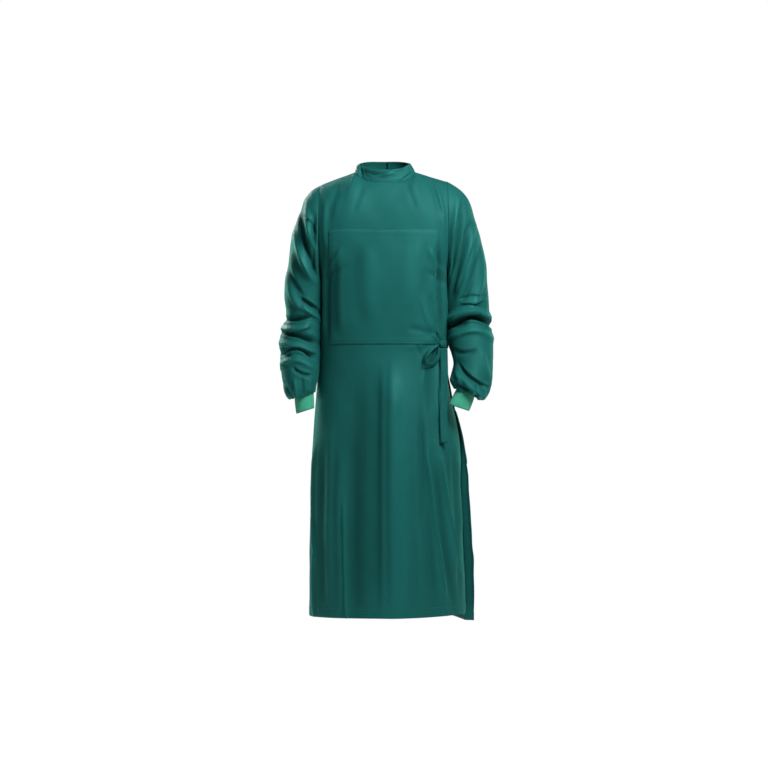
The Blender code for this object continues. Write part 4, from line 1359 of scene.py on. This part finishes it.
def build_loop(points):
    """The bow's loop: a drop of tape that leaves the knot and comes back to it.

    The path runs out along the drop's axis and back, and swings to either side by a sine
    that is widest near the far end.  The tape's face flares outwards.
    """
    turn = np.linspace(0, 2 * math.pi, LOOP_STEPS)
    along = LOOP_LENGTH * (1 - np.cos(turn)) / 2
    aside = LOOP_HALF_WIDTH * np.sin(turn) * np.sqrt(np.abs(np.sin(turn / 2)))
    aside = aside + LOOP_MOUTH * np.cos(turn / 2)
    lean = math.radians(LOOP_LEAN)
    x = LOOP_START[0] - along * math.sin(lean) + aside * math.cos(lean)
    z = LOOP_START[1] - along * math.cos(lean) - aside * math.sin(lean)
    y = smoothed(face_y(points, x, z), 9) - LOOP_STANDS_OFF
    middle = np.stack([x, y, z], axis=1)
    outwards = middle - middle.mean(axis=0)
    outwards[:, 1] = 0.0
    forward = np.array([0.0, -math.cos(LOOP_FLARE), 0.0])
    across = unit(outwards) * math.sin(LOOP_FLARE) + forward
    return build_tape("tie_loop_tape", middle, across, LOOP_TAPE_WIDTH, "tie_loop")


def build_end(end, face, points):
    """A tie's free end, which hangs down just off the panel behind it."""
    z = np.linspace(end.top, end.bottom, END_STEPS)
    down = (end.top - z) / (end.top - end.bottom)
    x = end.x + end.lean * down + 1.2 * np.sin(down * 7.0)
    toward = -1 if face == "front" else 1
    near = [face_y(points, x + share * end.width / 2, z) for share in (-1, -0.5, 0, 0.5, 1)]
    furthest = smoothed(np.max(np.array(near) * toward, axis=0), 11)
    y = toward * (furthest + end.out + end.top_out * (1 - down) ** 3)
    middle = np.stack([x, y, z], axis=1)
    across = np.tile([1.0, 0.0, 0.0], (len(z), 1))
    across[:, 1] = 0.12 * np.sin(9 * down + 0.5)
    return build_tape(end.name + "_tape", middle, across, end.width, end.name)


KNOT_SIZE = GridSize(64, 34)
KNOT_WRAPS = 3
WRAP_SLANT = 0.9
WRAP_DEPTH = 0.13
KNOT_SQUARE = 0.85         # below 1, the knot's outline is squarer than an oval
KNOT_WELD = 0.00002


def build_knot(name, centre, radii, node):
    """A tight knot: an oval lump of tape with slanting wraps drawn into it.

    A sphere's grid, squared off a little, whose radius dips along three slanting lines.
    """
    turn = np.linspace(0, 2 * math.pi, KNOT_SIZE.columns, endpoint=False)[None, :]
    rise = np.linspace(-math.pi / 2, math.pi / 2, KNOT_SIZE.rows)[:, None]
    wraps = np.cos(KNOT_WRAPS * (turn + WRAP_SLANT * rise) + 0.6)
    dip = WRAP_DEPTH * np.clip(wraps, -1, 0.2) * np.cos(rise) - 0.02
    ripple = 0.035 * np.sin(9 * rise + 2 * turn) * np.cos(rise)
    size = 1 + dip + ripple
    x = centre[0] + radii[0] * size * np.cos(rise) ** KNOT_SQUARE * np.cos(turn)
    y = centre[1] + radii[1] * size * np.cos(rise) ** KNOT_SQUARE * np.sin(turn)
    z = centre[2] + radii[2] * size * np.sin(rise) + 0 * turn
    grid = np.stack([x, y, z], axis=2)
    faces = grid_faces(KNOT_SIZE.rows, KNOT_SIZE.columns, closed=True, flip=True)
    spacing = np.stack([turn + 0 * rise, rise + 0 * turn], axis=2) * 0.01
    # Painted shade in the grooves between the wraps
    values = {"seam": 0.6 * np.clip(-wraps, 0, 1) * np.cos(rise) ** 2, "fold_light_and_polish": 0 * x}
    piece = mesh_object(name, grid, faces, spacing, values)
    weld = piece.modifiers.new("poles", "WELD")
    weld.merge_threshold = KNOT_WELD
    piece.data.materials.append(tape)
    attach(piece, "root")
    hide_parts(node)


# ---------------------------------------------------------------- stage


FLOOR_GLOW = 0.70
FLOOR_HALF = 2.0
FLOOR_LEVEL = -1.72
FLOOR_WHITE = (0.9, 0.9, 0.9, 1.0)


def stage_floor():
    """A wide pale floor below the gown."""
    mesh = bpy.data.meshes.new("floor")
    corners = [(x * FLOOR_HALF, y * FLOOR_HALF, FLOOR_LEVEL)
               for x, y in ((-1, -1), (1, -1), (1, 1), (-1, 1))]
    mesh.from_pydata(corners, [], [(0, 1, 2, 3)])
    floor = bpy.data.objects.new("floor", mesh)
    bpy.context.scene.collection.objects.link(floor)
    material = bpy.data.materials.new("pale floor")
    material.use_nodes = True
    shader = material.node_tree.nodes["Principled BSDF"]
    shader.inputs["Base Color"].default_value = FLOOR_WHITE
    shader.inputs["Roughness"].default_value = 0.9
    shader.inputs["Emission Color"].default_value = (1.0, 1.0, 1.0, 1.0)
    shader.inputs["Emission Strength"].default_value = FLOOR_GLOW
    mesh.materials.append(material)


SURROUND_LIGHT = 0.05      # what the surround gives the cloth; the camera sees it white
CHEST = (0.0, 0.0, -0.45)
COLLAR = (0.0, 0.0, 0.05)
WHITE = (1.0, 1.0, 1.0)
RIM_GREEN = (0.30, 1.0, 0.78)
Lamp = namedtuple("Lamp", "name place target size power colour spread")
LAMPS = [
    Lamp("key", (1.05, -1.55, 1.35), COLLAR, 1.0, 43.0, WHITE, math.radians(110)),
    Lamp("fill", (-2.8, -1.8, -0.1), CHEST, 1.8, 9.0, WHITE, math.pi),
    Lamp("back", (-1.7, 2.3, 1.1), CHEST, 1.2, 60.0, WHITE, math.pi),
    Lamp("rim_left", (-2.1, 2.3, 0.1), CHEST, 1.2, 34.0, RIM_GREEN, math.pi),
    Lamp("rim_right", (2.2, 2.3, 0.1), CHEST, 1.2, 18.7, RIM_GREEN, math.pi),
]


def area_light(lamp):
    """A soft square lamp that faces a point."""
    data = bpy.data.lights.new(lamp.name, "AREA")
    data.size = lamp.size
    data.energy = lamp.power
    data.spread = lamp.spread
    data.color = lamp.colour
    thing = bpy.data.objects.new(lamp.name, data)
    thing.location = lamp.place
    aim = Vector(lamp.target) - Vector(lamp.place)
    thing.rotation_euler = aim.to_track_quat("-Z", "Y").to_euler()
    bpy.context.scene.collection.objects.link(thing)


def studio():
    """A white surround, which lights the cloth less than the eye sees, and the lamps."""
    world = bpy.data.worlds.new("studio")
    bpy.context.scene.world = world
    world.use_nodes = True
    nodes, links = world.node_tree.nodes, world.node_tree.links
    background = nodes["Background"]
    background.inputs["Color"].default_value = (1, 1, 1, 1)
    path = nodes.new("ShaderNodeLightPath")
    strength = nodes.new("ShaderNodeMapRange")
    strength.inputs["To Min"].default_value = SURROUND_LIGHT
    strength.inputs["To Max"].default_value = 1.0
    links.new(path.outputs["Is Camera Ray"], strength.inputs["Value"])
    links.new(strength.outputs["Result"], background.inputs["Strength"])
    for lamp in LAMPS:
        area_light(lamp)


CAMERA_DISTANCE = 7.0      # from the gown's front
GOWN_FRONT = -0.08
SENSOR_WIDTH = 36.0
VIEW_WIDTH = 2.0506        # metres across the picture at the gown's front
VIEW_CENTRE = (-0.0053, -0.566)


def camera():
    """Square on to the front, level with the gown's middle."""
    data = bpy.data.cameras.new("camera")
    data.sensor_width = SENSOR_WIDTH
    data.lens = SENSOR_WIDTH * CAMERA_DISTANCE / VIEW_WIDTH
    data.clip_end = 60.0
    thing = bpy.data.objects.new("camera", data)
    thing.location = (VIEW_CENTRE[0], GOWN_FRONT - CAMERA_DISTANCE, VIEW_CENTRE[1])
    thing.rotation_euler = (math.pi / 2, 0, 0)
    bpy.context.scene.collection.objects.link(thing)
    bpy.context.scene.camera = thing


# ---------------------------------------------------------------- assembly


def run_along(grid, out, side, distance, raise_by):
    """A stitching run on a piece's outer face: its grid line nearest to a distance."""
    across = side in ("top", "bottom")
    gaps = edge_distance(grid, [side]).mean(axis=1 if across else 0)
    k = int(np.argmin(np.abs(gaps - distance)))
    line, up = (grid[k], out[k]) if across else (grid[:, k], out[:, k])
    return line + up * raise_by, up


def sew_stitches(front, patch, flap, collar):
    """The stitching of the chest panel, the hems and the collar, on grids and outs."""
    half_wall = CLOTH_WALL / 2
    stitches("chest_panel_stitching",
             [run_along(*patch, side, EDGE_STITCH, half_wall)
              for side in ("first", "last", "top", "bottom")], sewing_thread)
    stitches("hem_stitching",
             [run_along(*front, "bottom", HEM_FOLD, half_wall),
              run_along(*flap, "bottom", HEM_FOLD, half_wall),
              run_along(*flap, "last", LIP_STITCH, half_wall)], sewing_thread)
    stitches("collar_stitching",
             [run_along(*collar, side, COLLAR_STITCH, BAND_WALL / 2)
              for side in ("top", "bottom")], sewing_thread)


def build_gown():
    """Every piece of cloth, knit, tape and thread."""
    front, *front_face = build_front()
    patch, *patch_face = build_patch()
    flap, *flap_face = build_flap()
    under = build_under()
    sleeve_right = build_sleeve("sleeve_right_cloth", ARMHOLE_RIGHT, SLEEVE_RIGHT,
                                SLEEVE_RIGHT_FRONT, SLEEVE_RIGHT_BACK, "sleeve_right")
    sleeve_left = build_sleeve("sleeve_left_cloth", ARMHOLE_LEFT, SLEEVE_LEFT,
                               SLEEVE_LEFT_FRONT, SLEEVE_LEFT_BACK, "sleeve_left")
    cuff_right = build_cuff("cuff_right_knit", CUFF_RIGHT, "cuff_right", False)
    cuff_left = build_cuff("cuff_left_knit", CUFF_LEFT, "cuff_left", True)
    collar, *collar_face = build_collar()

    front_points = front_face[0].reshape(-1, 3)
    flap_points = flap_face[0].reshape(-1, 3)
    strap = build_strap()
    loop = build_loop(front_points)
    ends = [build_end(end, "front", front_points) for end in TIE_ENDS]
    neck_ends = [build_end(end, "back", flap_points) for end in NECK_ENDS]
    build_knot("tie_knot_tape", KNOT_CENTRE, KNOT_RADII, "tie_knot")
    build_knot("neck_tie_knot_tape", NECK_KNOT_CENTRE, NECK_KNOT_RADII, "neck_tie_knot")
    sew_stitches(front_face, patch_face, flap_face, collar_face)


bpy.context.scene.view_settings.view_transform = "Standard"
studio()
camera()
stage_floor()
build_gown()
